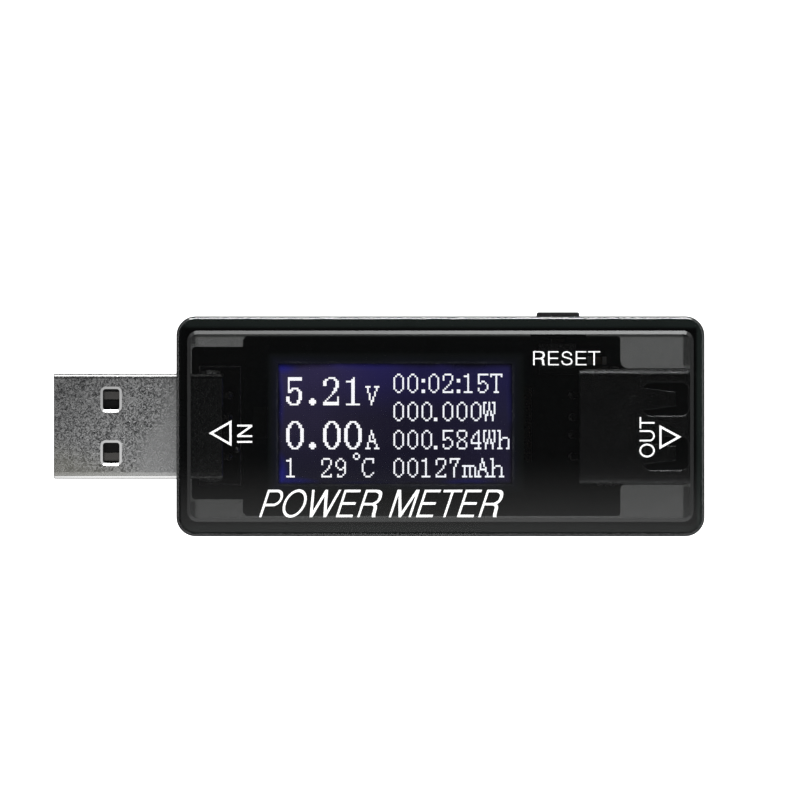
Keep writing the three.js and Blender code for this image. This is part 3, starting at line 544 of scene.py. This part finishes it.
def even_normals(me, limit):
    """Smooth shading that leaves flat faces flat: at each corner the widest flat region near it wins."""
    normals = [Vector(f.normal) for f in me.polygons]
    areas = [f.area for f in me.polygons]
    parent = list(range(len(normals)))

    def root(i):
        while parent[i] != i:
            parent[i] = parent[parent[i]]
            i = parent[i]
        return i
    by_edge = {}
    for f in me.polygons:
        for key in f.edge_keys:
            by_edge.setdefault(key, []).append(f.index)
    for pair in by_edge.values():
        if len(pair) == 2 and normals[pair[0]].dot(normals[pair[1]]) > 0.99999:
            parent[root(pair[0])] = root(pair[1])
    region = {}
    for i, a in enumerate(areas):
        region[root(i)] = region.get(root(i), 0.0) + a
    at_vertex = [[] for _ in me.vertices]
    for f in me.polygons:
        for v in f.vertices:
            at_vertex[v].append(f.index)
    cosine = math.cos(limit)
    split = []
    for f in me.polygons:
        n = normals[f.index]
        for v in f.vertices:
            total, seen = Vector((0, 0, 0)), set()
            for g in at_vertex[v]:
                r = root(g)
                if r not in seen and normals[g].dot(n) > cosine:
                    seen.add(r)
                    total += normals[g] * region[r]
            split.append(total.normalized() if total.length > 0 else n)
    me.normals_split_custom_set(split)


for o in NODES.values():
    me = o.data
    me.shade_smooth()
    me.set_sharp_from_angle(angle=math.radians(32))
    even_normals(me, math.radians(32))


# ------------------------------------------------------------------ new pieces
def piece(name, me, material, body="case"):
    o = bpy.data.objects.new(name, me)
    SC.collection.objects.link(o)
    me.materials.clear()
    me.materials.append(material)
    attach(o, body)
    return o


def from_quads(name, polys, z0, z1):
    """Flat plates: each polygon (anticlockwise, in mm) becomes a closed slab from z0 to z1."""
    bm = bmesh.new()
    for pts in polys:
        lo = [bm.verts.new((x * MM, y * MM, z0 * MM)) for x, y in pts]
        hi = [bm.verts.new((x * MM, y * MM, z1 * MM)) for x, y in pts]
        bm.faces.new(hi)
        bm.faces.new(list(reversed(lo)))
        n = len(pts)
        for i in range(n):
            j = (i + 1) % n
            bm.faces.new((lo[i], lo[j], hi[j], hi[i]))
    me = bpy.data.meshes.new(name)
    bm.to_mesh(me)
    bm.free()
    return me


# ---- lit dots of the display -------------------------------------------------
# Characters are drawn as strokes on the dot grid (x right, y down) and turned into dots here.
def arc(cx, cy, rx, ry, a0, a1, n=14):
    return [(cx + rx * math.cos(math.radians(a0 + (a1 - a0) * i / n)), cy + ry * math.sin(math.radians(a0 + (a1 - a0) * i / n))) for i in range(n + 1)]


def seg_distance(px, py, a, b):
    ax, ay = a
    bx, by = b
    dx, dy = bx - ax, by - ay
    L = dx * dx + dy * dy
    u = 0 if L == 0 else max(0, min(1, ((px - ax) * dx + (py - ay) * dy) / L))
    return math.hypot(px - ax - u * dx, py - ay - u * dy)


# Cells are whole numbers from the character's upper left; a cell lights when it is within `half` of a
# stroke through cell centres, or between the two ellipses of a ring.
def ring(cx, cy, ro, so, ri, si):
    return ("ring", cx, cy, ro, so, ri, si)


# tall digits, up to 10 dots by 16: heavy verticals, light horizontals
TALL = {
    "0": [ring(4.5, 7.5, 5.05, 8.0, 2.9, 7.0)],
    "1": [[(4, 0), (4, 14)], [(3, 1), (3, 14)], [(0, 2), (2, 2)], [(0, 15), (7, 15)]],
    "2": [[(3, 0), (6, 0)], [(1, 1), (2, 1)], [(6, 1), (7, 1)], [(0, 2), (1, 2)], [(0, 3), (1, 3)], [(0, 4), (1, 4)], [(7, 2), (7, 5)], [(8, 2), (8, 5)],
          [(6, 6), (7, 6)], [(6, 7), (7, 7)], [(5, 8), (6, 8)], [(5, 9), (0, 14)], [(0, 14), (8, 14)], [(0, 15), (8, 15)], [(8, 11), (8, 13)]],
    "5": [[(1, 0), (8, 0)], [(1, 1), (8, 1)], [(1, 2), (1, 8)], [(2, 8), (2, 7)], [(3, 7), (3, 6)], [(3, 6), (6, 6)], [(6, 7), (7, 7)], [(7, 8), (7, 12)],
          [(8, 8), (8, 12)], [(6, 13), (7, 13)], [(6, 14), (7, 14)], [(2, 15), (6, 15)], [(1, 14), (2, 14)], [(0, 11), (1, 11)], [(0, 12), (1, 12)], [(0, 13), (1, 13)]],
    ".": [[(1, 12), (2, 12)], [(0, 13), (3, 13)], [(0, 14), (3, 14)], [(1, 15), (2, 15)]],
}
# small characters, 8 dots by 11, drawn with single-dot strokes; the unit letters use them too
SMALL = {
    "0": [[(3, 0), (4, 0), (5, 1), (6, 2), (6, 8), (5, 9), (4, 10), (3, 10), (2, 9), (1, 8), (1, 2), (2, 1), (3, 0)]],
    "1": [[(1, 1), (2, 1)], [(3, 0), (3, 10)], [(1, 10), (5, 10)]],
    "2": [[(1, 3), (1, 1), (2, 0), (5, 0), (6, 1), (6, 3), (5, 4), (5, 5), (1, 9), (1, 10), (6, 10), (6, 9)]],
    "4": [[(5, 0), (5, 10)], [(4, 1), (3, 2), (2, 3), (2, 4), (1, 5), (1, 7), (6, 7)], [(3, 10), (6, 10)]],
    "5": [[(6, 0), (1, 0), (1, 5), (2, 5), (3, 4), (4, 4), (5, 5), (6, 6), (6, 8), (5, 9), (4, 10), (2, 10), (1, 9), (1, 8)]],
    "7": [[(1, 2), (1, 0), (6, 0)], [(5, 1), (5, 2), (4, 3), (4, 4), (3, 5), (3, 10)]],
    "8": [[(5, 4), (6, 3), (6, 1), (5, 0), (2, 0), (1, 1), (1, 3), (2, 4), (3, 5), (4, 5), (5, 6), (6, 7), (6, 9), (5, 10), (2, 10), (1, 9), (1, 7), (2, 6)]],
    "9": [[(3, 0), (4, 0), (5, 1), (6, 2), (6, 8), (5, 9), (4, 10), (2, 10), (2, 9)], [(3, 0), (2, 1), (1, 2), (1, 4), (2, 5), (3, 6), (4, 6), (5, 5)]],
    ":": [[(1, 3), (2, 3), (2, 4), (1, 4)], [(1, 9), (2, 9), (2, 10), (1, 10)]],
    ".": [[(0, 9), (1, 9), (1, 10), (0, 10)]],
    "T": [[(0, 1), (0, 0), (6, 0), (6, 1)], [(3, 0), (3, 10)], [(2, 10), (4, 10)]],
    "V": [[(0, 0), (2, 0)], [(1, 0), (1, 3), (2, 4), (2, 7), (3, 8), (3, 10)], [(4, 8), (4, 6), (5, 5), (5, 3), (6, 2), (6, 0)], [(5, 0), (7, 0)]],
    "W": [[(1, 0), (0, 0), (0, 6), (1, 7), (1, 10)], [(2, 7), (2, 5), (3, 4), (3, 0)], [(3, 4), (4, 5), (4, 7)], [(5, 10), (5, 7), (6, 6), (6, 0), (5, 0)]],
    "A": [[(3, 0), (3, 2), (2, 3), (2, 6), (1, 7), (1, 10)], [(4, 2), (4, 4), (5, 5), (5, 7), (6, 8), (6, 10)], [(2, 6), (5, 6)], [(0, 10), (2, 10)], [(5, 10), (7, 10)]],
    "C": [[(6, 2), (6, 0), (2, 0), (1, 1), (1, 2), (0, 3), (0, 7), (1, 8), (1, 9), (2, 10), (4, 10), (5, 9), (6, 8)]],
    "h": [[(0, 0), (1, 0), (1, 10)], [(0, 10), (2, 10)], [(2, 5), (3, 4), (5, 4), (6, 5), (6, 10)], [(5, 10), (7, 10)]],
    "m": [[(0, 4), (6, 4)], [(1, 4), (1, 10)], [(0, 10), (2, 10)], [(4, 5), (4, 10), (5, 10)], [(7, 5), (7, 10)]],
    "o": [[(1, 0), (2, 0), (3, 1), (3, 2), (2, 3), (1, 3), (0, 2), (0, 1), (1, 0)]],
}


def cells(a, b):
    """Cells of a single-dot stroke between two cells."""
    n = max(abs(b[0] - a[0]), abs(b[1] - a[1]))
    return [(round(a[0] + (b[0] - a[0]) * k / max(n, 1)), round(a[1] + (b[1] - a[1]) * k / max(n, 1))) for k in range(n + 1)]


def stamp(dots, glyph, col, row):
    for e in glyph:
        if isinstance(e, tuple) and e[0] == "ring":
            _, cx, cy, ro, so, ri, si = e
            for j in range(-1, 19):
                for i in range(-1, 13):
                    if ((i - cx) / ro) ** 2 + ((j - cy) / so) ** 2 <= 1 and ((i - cx) / ri) ** 2 + ((j - cy) / si) ** 2 > 1:
                        dots.add((col + i, row + j))
        elif isinstance(e, tuple):
            half, pts = e
            for j in range(-1, 19):
                for i in range(-1, 13):
                    if any(seg_distance(i, j, a, b) <= half + 0.001 for a, b in zip(pts, pts[1:])):
                        dots.add((col + i, row + j))
        else:
            for a, b in zip(e, e[1:]):
                for i, j in cells(a, b):
                    dots.add((col + i, row + j))


dots = set()
for ch, col in (("5", 2), (".", 15), ("2", 23), ("1", 36)):
    stamp(dots, TALL[ch], col, 5)
for ch, col in (("0", 2), (".", 15), ("0", 23), ("0", 35)):
    stamp(dots, TALL[ch], col, 30)
stamp(dots, SMALL["V"], 47, 10)
stamp(dots, SMALL["A"], 47, 35)
for ch, col in (("1", 1), ("2", 21), ("9", 29)):
    stamp(dots, SMALL[ch], col, 51)
stamp(dots, SMALL["o"], 40, 48)
stamp(dots, SMALL["C"], 45, 51)


def line(text, row, col=62):
    for ch in text:
        stamp(dots, SMALL[ch], col, row)
        col += 4 if ch in ":." else 8


line("00:02:15T", 3)
line("000.000W", 19)
line("000.584Wh", 35)
line("00127mAh", 51)

DOT = 0.2
LCD_X0 = -17.945
LCD_Y0 = 6.58
dots = {(c, r) for c, r in dots if c <= 128}
pol_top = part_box("lcd_polariser")[1].z / MM
# dots side by side in a row are one plate with the same outline
rows = {}
for c, r in dots:
    rows.setdefault(r, []).append(c)
polys = []
for r, cs in rows.items():
    cs.sort()
    start = prev = cs[0]
    for c in cs[1:] + [None]:
        if c is not None and c == prev + 1:
            prev = c
            continue
        x0, x1 = LCD_X0 + start * DOT, LCD_X0 + (prev + 1) * DOT
        y1, y0 = LCD_Y0 - r * DOT, LCD_Y0 - (r + 1) * DOT
        polys.append([(x0 + 0.006, y0 + 0.004), (x1 - 0.006, y0 + 0.004), (x1 - 0.006, y1 - 0.004), (x0 + 0.006, y1 - 0.004)])
        start = prev = c
piece("lcd_lit_dots", from_quads("lcd_lit_dots", polys, pol_top + 0.01, pol_top + 0.03), lit_dot())


# ---- printed labels, just under the polished surface ---------------------------
TOP_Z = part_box("top_cover")[1].z / MM
INK = ink()


def area_of(loop):
    return 0.5 * sum(a[0] * b[1] - b[0] * a[1] for a, b in zip(loop, loop[1:] + loop[:1]))


def add_slab(bm, loops, z0, z1):
    """Outer outline and holes (mm) as one closed slab."""
    fixed = []
    for k, loop in enumerate(loops):
        want = 1 if k == 0 else -1
        fixed.append(loop if area_of(loop) * want > 0 else loop[::-1])
    flat = [p for loop in fixed for p in loop]
    lo = [bm.verts.new((x * MM, y * MM, z0 * MM)) for x, y in flat]
    hi = [bm.verts.new((x * MM, y * MM, z1 * MM)) for x, y in flat]
    for tri in tessellate_polygon([[Vector((x, y, 0)) for x, y in loop] for loop in fixed]):
        a, b, c = tri
        turn = (flat[b][0] - flat[a][0]) * (flat[c][1] - flat[a][1]) - (flat[c][0] - flat[a][0]) * (flat[b][1] - flat[a][1])
        if abs(turn) < 1e-12:
            continue
        if turn < 0:
            b, c = c, b
        bm.faces.new((hi[a], hi[b], hi[c]))
        bm.faces.new((lo[c], lo[b], lo[a]))
    start = 0
    for loop in fixed:
        n = len(loop)
        for i in range(n):
            a, b = start + i, start + (i + 1) % n
            bm.faces.new((lo[a], lo[b], hi[b], hi[a]))
        start += n


def smooth_path(points, per=5):
    """Catmull-Rom curve through the points."""
    out = []
    pts = [points[0]] + points + [points[-1]]
    for i in range(1, len(pts) - 2):
        p0, p1, p2, p3 = (Vector(pts[i + k]) for k in (-1, 0, 1, 2))
        for k in range(per):
            u = k / per
            out.append(0.5 * ((2 * p1) + (p2 - p0) * u + (2 * p0 - 5 * p1 + 4 * p2 - p3) * u * u + (3 * p1 - 3 * p2 + p3 - p0) * u ** 3))
    out.append(Vector(pts[-2]))
    return out


def thick(path, v, h):
    """Outline of a stroke whose width is v where it runs up and down and h where it runs across."""
    left, right = [], []
    for i, p in enumerate(path):
        d = (path[min(i + 1, len(path) - 1)] - path[max(i - 1, 0)]).normalized()
        w = 0.5 * math.hypot(v * d.y, h * d.x)
        n = Vector((-d.y, d.x)) * w
        left.append(tuple(p + n))
        right.append(tuple(p - n))
    return left + right[::-1]


# Plain grotesque capitals, cap height 1: advance, left bearing and outlines for stem v and bar h
def glyph(ch, v, h):
    if ch == "I":
        return 0.387, 0.127, [[[(0, 0), (v, 0), (v, 1), (0, 1)]]]
    if ch == "T":
        w = 0.81
        a, b = (w - v) / 2, (w + v) / 2
        return 0.85, 0.02, [[[(a, 0), (b, 0), (b, 1 - h), (w, 1 - h), (w, 1), (0, 1), (0, 1 - h), (a, 1 - h)]]]
    if ch == "E":
        w = 0.72
        return 0.93, 0.12, [[[(0, 0), (w, 0), (w, h), (v, h), (v, 0.455), (w * 0.93, 0.455), (w * 0.93, 0.455 + h), (v, 0.455 + h), (v, 1 - h), (w * 0.98, 1 - h), (w * 0.98, 1), (0, 1)]]]
    if ch == "N":
        w = 0.79
        return 1.005, 0.105, [[[(0, 0), (v, 0), (v, 0.79), (w - v * 1.1, 0), (w, 0), (w, 1), (w - v, 1), (w - v, 0.21), (v * 1.1, 1), (0, 1)]]]
    if ch == "M":
        w = 0.96
        return 1.16, 0.10, [[[(0, 0), (v, 0), (v, 0.82), (w / 2 - v * 0.5, 0), (w / 2 + v * 0.5, 0), (w - v, 0.82), (w - v, 0), (w, 0), (w, 1), (w - v * 1.45, 1), (w / 2, 0.2), (v * 1.45, 1), (0, 1)]]]
    if ch == "W":
        w, k = 1.27, v * 1.06
        return 1.315, 0.02, [[[(0, 1), (k, 1), (0.335, 0.22), (0.635 - k * 0.52, 1), (0.635 + k * 0.52, 1), (0.935, 0.22), (w - k, 1), (w, 1), (0.935 + k * 0.52, 0), (0.935 - k * 0.52, 0), (0.635, 0.77), (0.335 + k * 0.52, 0), (0.335 - k * 0.52, 0)]]]
    if ch == "P":
        outer = [(0, 0), (v, 0), (v, 0.40)] + arc(0.44, 0.70, 0.31, 0.30, -90, 90, 14) + [(0, 1)]
        hole = [(v, 0.40 + h)] + arc(0.43, 0.70, 0.32 - v, 0.30 - h, -90, 90, 12) + [(v, 1 - h)]
        return 0.93, 0.12, [[outer, hole]]
    if ch == "R":
        outer = [(0, 0), (v, 0), (v, 0.43), (0.44, 0.43), (0.52, 0.42), (0.572, 0.375), (0.59, 0.30), (0.60, 0.16), (0.615, 0.05), (0.64, 0), (0.80, 0), (0.765, 0.05),
                 (0.745, 0.16), (0.735, 0.32), (0.70, 0.415), (0.625, 0.475), (0.71, 0.53), (0.765, 0.62), (0.78, 0.73), (0.765, 0.84), (0.715, 0.925), (0.62, 0.982), (0.47, 1), (0, 1)]
        hole = [(v, 0.43 + h), (0.46, 0.43 + h), (0.555, 0.56), (0.63, 0.62), (0.65, 0.72), (0.63, 0.82), (0.56, 0.872), (0.46, 1 - h), (v, 1 - h)]
        return 1.005, 0.12, [[outer, hole]]
    if ch == "O":
        return 1.085, 0.055, [[arc(0.4875, 0.5, 0.4875, 0.515, 0, 360, 36)[:-1], arc(0.4875, 0.5, 0.4875 - v * 1.06, 0.515 - h * 1.05, 0, 360, 36)[:-1]]]
    if ch == "U":
        outer = [(0, 1)] + arc(0.395, 0.345, 0.395, 0.36, 180, 360, 16) + [(0.79, 1), (0.79 - v, 1)] + arc(0.395, 0.345, 0.395 - v, 0.36 - h * 1.05, 360, 180, 16) + [(v, 1)]
        return 1.005, 0.11, [[outer]]
    if ch == "S":
        path = smooth_path([(0.685, 0.695), (0.63, 0.845), (0.40, 0.955), (0.185, 0.885), (0.105, 0.735), (0.185, 0.605), (0.40, 0.53), (0.625, 0.45),
                            (0.715, 0.285), (0.635, 0.115), (0.40, 0.045), (0.15, 0.115), (0.06, 0.315)])
        return 0.93, 0.06, [[thick(path, v, h * 1.05)]]
    return 0.387, 0, []


def label(name, text, x, y, length, cap, v, turn=False, slant=0.0, lead=(0.0, 0.0)):
    """Word with capitals `cap` high and `length` long, its baseline starting at (x, y); turned, it reads upwards."""
    shapes, pen = [], 0.0
    h = v * 0.9
    for ch in text:
        advance, bearing, outlines = glyph(ch, v, h)
        for loops in outlines:
            shapes.append([[(px + pen + bearing, py) for px, py in loop] for loop in loops])
        pen += advance
    lo = min(px for s_ in shapes for loop in s_ for px, _ in loop)
    hi = max(px for s_ in shapes for loop in s_ for px, _ in loop)
    k = (length - slant * cap) / (hi - lo)
    bm = bmesh.new()
    for s_ in shapes:
        loops = []
        for loop in s_:
            pts = []
            for px, py in loop:
                u, q = (px - lo) * k + slant * py * cap, py * cap
                pts.append((x - q, y + u) if turn else (x + u, y + q))
            loops.append(pts)
        add_slab(bm, loops, TOP_Z - 0.03, TOP_Z - 0.018)
    me = bpy.data.meshes.new(name)
    bm.to_mesh(me)
    bm.free()
    return piece(name, me, INK)


label("label_reset", "RESET", 10.52, 6.93, 7.6, 1.59, 0.098)
label("label_in", "IN", -21.37, -1.87, 2.05, 1.71, 0.116, turn=True)
label("label_out", "OUT", 24.3, -3.53, 4.57, 1.7, 0.116, turn=True)
label("label_title", "POWER METER", -20.6, -10.32, 28.0, 3.12, 0.102, slant=0.33)


def triangle(name, pts, stroke):
    """An outlined triangle of even stroke; pts anticlockwise, outer corners."""
    p = [Vector(q) for q in pts]
    inner = []
    for i in range(3):
        a, b, c = p[i - 1], p[i], p[(i + 1) % 3]
        u, v = (a - b).normalized(), (c - b).normalized()
        half = math.acos(max(-1, min(1, u.dot(v)))) / 2
        inner.append(b + (u + v).normalized() * (stroke / math.sin(half)))
    bm = bmesh.new()
    add_slab(bm, [[tuple(q) for q in p], [tuple(q) for q in inner]], TOP_Z - 0.03, TOP_Z - 0.018)
    me = bpy.data.meshes.new(name)
    bm.to_mesh(me)
    bm.free()
    return piece(name, me, INK)


triangle("arrow_in", [(-26.3, -0.78), (-23.72, -2.25), (-23.72, 0.69)], 0.24)
triangle("arrow_out", [(27.35, -1.2), (24.85, 0.15), (24.85, -2.6)], 0.24)


# ---- solder joints where the connectors' legs pass through the board ------------
def solder_joint(bm, x, y, rx, ry, z0, z1, sides=16, rings=5):
    """A concave solder fillet on the board's underside: wide at the board, narrow at the leg's end."""
    loops = []
    for k in range(rings + 1):
        f = k / rings
        s = 1 - 0.72 * math.sin(f * math.pi / 2) ** 0.7 if f > 0 else 1.0
        z = z0 + (z1 - z0) * f ** 1.15
        loops.append([bm.verts.new(((x + rx * s * math.cos(2 * math.pi * i / sides)) * MM, (y + ry * s * math.sin(2 * math.pi * i / sides)) * MM, z * MM)) for i in range(sides)])
    for a, b in zip(loops, loops[1:]):
        for i in range(sides):
            j = (i + 1) % sides
            bm.faces.new((a[i], b[i], b[j], a[j]))
    bm.faces.new(list(loops[0]))
    bm.faces.new(list(reversed(loops[-1])))


bm = bmesh.new()
board_low, board_high = (v.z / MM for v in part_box("circuit_board"))
for y in (3.5, 1.0, -1.0, -3.5):
    for x in (-24.15, 15.15):
        solder_joint(bm, x, y, 0.78, 0.72, board_low - 0.02, 1.95)
        if x < 0:
            solder_joint(bm, x, y, 0.44, 0.36, board_high + 0.01, board_high + 0.22)
for side in (1, -1):
    for x, y in ((-26.3, 5.85), (19.2, 6.4)):
        solder_joint(bm, x, side * y, 1.7, 0.75, board_low - 0.02, 1.9, 24)
        if x < 0:
            solder_joint(bm, x, side * y, 1.5, 0.58, board_high + 0.01, board_high + 0.2, 24)
solder_joint(bm, -23.3, -2.75, 0.42, 0.36, board_high + 0.01, board_high + 0.22)
me = bpy.data.meshes.new("solder_joints")
bm.to_mesh(me)
bm.free()
me.shade_smooth()
me.set_sharp_from_angle(angle=math.radians(50))
piece("solder_joints", me, solder())

bm = bmesh.new()
lx, rx, ly, hy, lw = -27.6, -22.8, -6.75, 6.9, 0.13
add_slab(bm, [[(lx, ly), (rx, ly), (rx, hy), (lx, hy)], [(lx + lw, ly + lw), (rx - lw, ly + lw), (rx - lw, hy - lw), (lx + lw, hy - lw)]], board_high + 0.008, board_high + 0.02)
me = bpy.data.meshes.new("board_print")
bm.to_mesh(me)
bm.free()
piece("board_print", me, moulded("board_print", (0.34, 0.34, 0.33), 0.6))

# ------------------------------------------------------------------ stage
def stage_floor():
    bm = bmesh.new()
    bmesh.ops.create_grid(bm, x_segments=1, y_segments=1, size=6.0)
    me = bpy.data.meshes.new("floor")
    bm.to_mesh(me)
    bm.free()
    o = bpy.data.objects.new("floor", me)
    o.location = (0, 0, -0.00006)
    SC.collection.objects.link(o)
    t = Tree("floor_paper")
    n = t.noise(0.02, 4, 0.6)
    col = t.mix(t.remap(n, 0.3, 0.7, 0, 1), (0.17, 0.17, 0.17), (0.19, 0.19, 0.19))
    lp = t.node("ShaderNodeLightPath")
    seen = t.math("MAXIMUM", lp.outputs["Is Camera Ray"], lp.outputs["Is Transmission Ray"])
    # painted shade: the paper's seen brightness is dimmed under the case in place of its shadow, most along its end
    # walls and the button side's wall and on the side away from the button
    s = t.xyz()
    side = t.math("MULTIPLY", t.remap(s["X"], -25, 25, 0.59, 0.72, True), 1.0)
    shade = t.math("MAXIMUM", side, t.remap(s["Y"], -7.0, 4.0, 0.0, 1.0, True))
    painted_end_shade = t.remap(t.math("ABSOLUTE", s["X"]), 27.7, 28.3, 1.0, 0.58, True)
    painted_end_shade = t.math("MULTIPLY", painted_end_shade, t.remap(s["Y"], 10.12, 10.32, 1.0, 0.30, True))
    inside = t.math("MULTIPLY", t.remap(t.math("ABSOLUTE", s["X"]), 29.0, 29.4, 1.0, 0.0, True), t.remap(t.math("ABSOLUTE", s["Y"]), 12.0, 12.4, 1.0, 0.0, True))
    shade = t.math("ADD", t.math("MULTIPLY", t.math("MULTIPLY", shade, painted_end_shade), inside), t.math("SUBTRACT", 1.0, inside))
    level = t.math("MULTIPLY", shade, FLOOR_SEEN)
    strength = t.math("ADD", t.math("MULTIPLY", seen, level), FLOOR_FILL)
    t.bsdf(Base_Color=col, Roughness=0.9, Emission_Color=(1, 1, 1), Emission_Strength=strength)
    me.materials.append(t.m)


FLOOR_SEEN = 1.85
FLOOR_FILL = 0.02
stage_floor()

# Studio surroundings: a pale ring at the horizon, dim overhead so that flat tops don't mirror a bright
# ceiling, and a wide card that starts just off the vertical on the side away from the button.
world = bpy.data.worlds.new("studio")
SC.world = world
world.use_nodes = True
wn = world.node_tree
wn.nodes.clear()


def wnode(kind, **inputs):
    n = wn.nodes.new(kind)
    for k, v in inputs.items():
        n.inputs[k.replace("_", " ")].default_value = v
    return n


tc = wn.nodes.new("ShaderNodeTexCoord")
sep = wn.nodes.new("ShaderNodeSeparateXYZ")
wn.links.new(tc.outputs["Generated"], sep.inputs[0])
rmp = wn.nodes.new("ShaderNodeValToRGB")
wn.links.new(sep.outputs["Z"], rmp.inputs["Fac"])
els = rmp.color_ramp.elements
els[0].position, els[0].color = 0.0, (1.0, 1.0, 1.0, 1)
els[1].position, els[1].color = 0.99, (0.035, 0.036, 0.037, 1)
for pos, val in ((0.16, 0.95), (0.30, 0.80), (0.62, 0.72), (0.80, 0.14), (0.90, 0.07)):
    e = els.new(pos)
    e.color = (val, val, val * 1.01, 1)
bg = wnode("ShaderNodeBackground", Strength=1.5)
wn.links.new(rmp.outputs["Color"], bg.inputs["Color"])


def wmap(source, a, b, c, d):
    n = wn.nodes.new("ShaderNodeMapRange")
    n.interpolation_type = "SMOOTHSTEP"
    for key, v in (("From Min", a), ("From Max", b), ("To Min", c), ("To Max", d)):
        n.inputs[key].default_value = v
    wn.links.new(source, n.inputs["Value"])
    return n.outputs["Result"]


def wmath(op, a, b=None):
    n = wn.nodes.new("ShaderNodeMath")
    n.operation = op
    for i, v in enumerate((a, b)):
        if v is None:
            continue
        if isinstance(v, (int, float)):
            n.inputs[i].default_value = v
        else:
            wn.links.new(v, n.inputs[i])
    return n.outputs[0]


DX, DY, DZ = sep.outputs["X"], sep.outputs["Y"], sep.outputs["Z"]
# the ring is dimmer beyond both ends of the case
dimmer = wmath("MULTIPLY", wmap(wmath("ABSOLUTE", DX), 0.6, 0.92, 0.0, 0.66), wmap(DZ, 0.34, 0.24, 0.0, 1.0))
wn.links.new(wmath("MULTIPLY", wmath("SUBTRACT", 1.0, dimmer), 1.5), bg.inputs["Strength"])
card = wmath("MULTIPLY", wmath("MULTIPLY", wmap(DY, -0.0065, -0.021, 0.0, 1.0), wmap(DZ, 0.90, 0.97, 0.0, 1.0)), 0.66)
# a low strip behind the button's side, stronger towards the socket
strip = wmath("MULTIPLY", wmath("MULTIPLY", wmap(DZ, 0.09, 0.115, 0.0, 1.0), wmap(DZ, 0.215, 0.24, 1.0, 0.0)), wmap(DY, 0.88, 0.93, 0.0, 1.0))
strip = wmath("MULTIPLY", strip, wmap(DX, -0.03, 0.03, 5.0, 9.5))
bg2 = wn.nodes.new("ShaderNodeBackground")
bg2.inputs["Color"].default_value = (1, 1, 1, 1)
wn.links.new(wmath("ADD", card, strip), bg2.inputs["Strength"])
add_sh = wn.nodes.new("ShaderNodeAddShader")
out = wn.nodes.new("ShaderNodeOutputWorld")
wn.links.new(bg.outputs[0], add_sh.inputs[0])
wn.links.new(bg2.outputs[0], add_sh.inputs[1])
wn.links.new(add_sh.outputs[0], out.inputs["Surface"])


def area(name, loc, target, sx, sy, power, color=(1, 1, 1)):
    li = bpy.data.lights.new(name, "AREA")
    li.shape = "RECTANGLE"
    li.size, li.size_y = sx, sy
    li.energy = power
    li.color = color
    o = bpy.data.objects.new(name, li)
    o.location = loc
    o.rotation_euler = (Vector(target) - Vector(loc)).to_track_quat("-Z", "Y").to_euler()
    SC.collection.objects.link(o)
    return o


area("softbox_back", (0.0, 0.69, 0.42), (0, 0, 0), 0.66, 0.258, 6.8)
# camera: straight down on the display, as in the reference view
PX_PER_MM = 8.81
DIST = 0.9
look = Vector(((400 - 440.5) / PX_PER_MM * MM, -(400 - 426.3) / PX_PER_MM * MM, 0.0126))
cam = bpy.data.cameras.new("camera")
cam.sensor_width = 36.0
cam.lens = 36.0 * DIST / (800 / PX_PER_MM * MM)
cam.clip_start = 0.01
cam.clip_end = 50
co = bpy.data.objects.new("camera", cam)
co.location = look + Vector((0, 0, DIST))
co.rotation_euler = (0, 0, 0)
SC.collection.objects.link(co)
SC.camera = co

SC.view_settings.view_transform = "Standard"
SC.view_settings.look = "None"
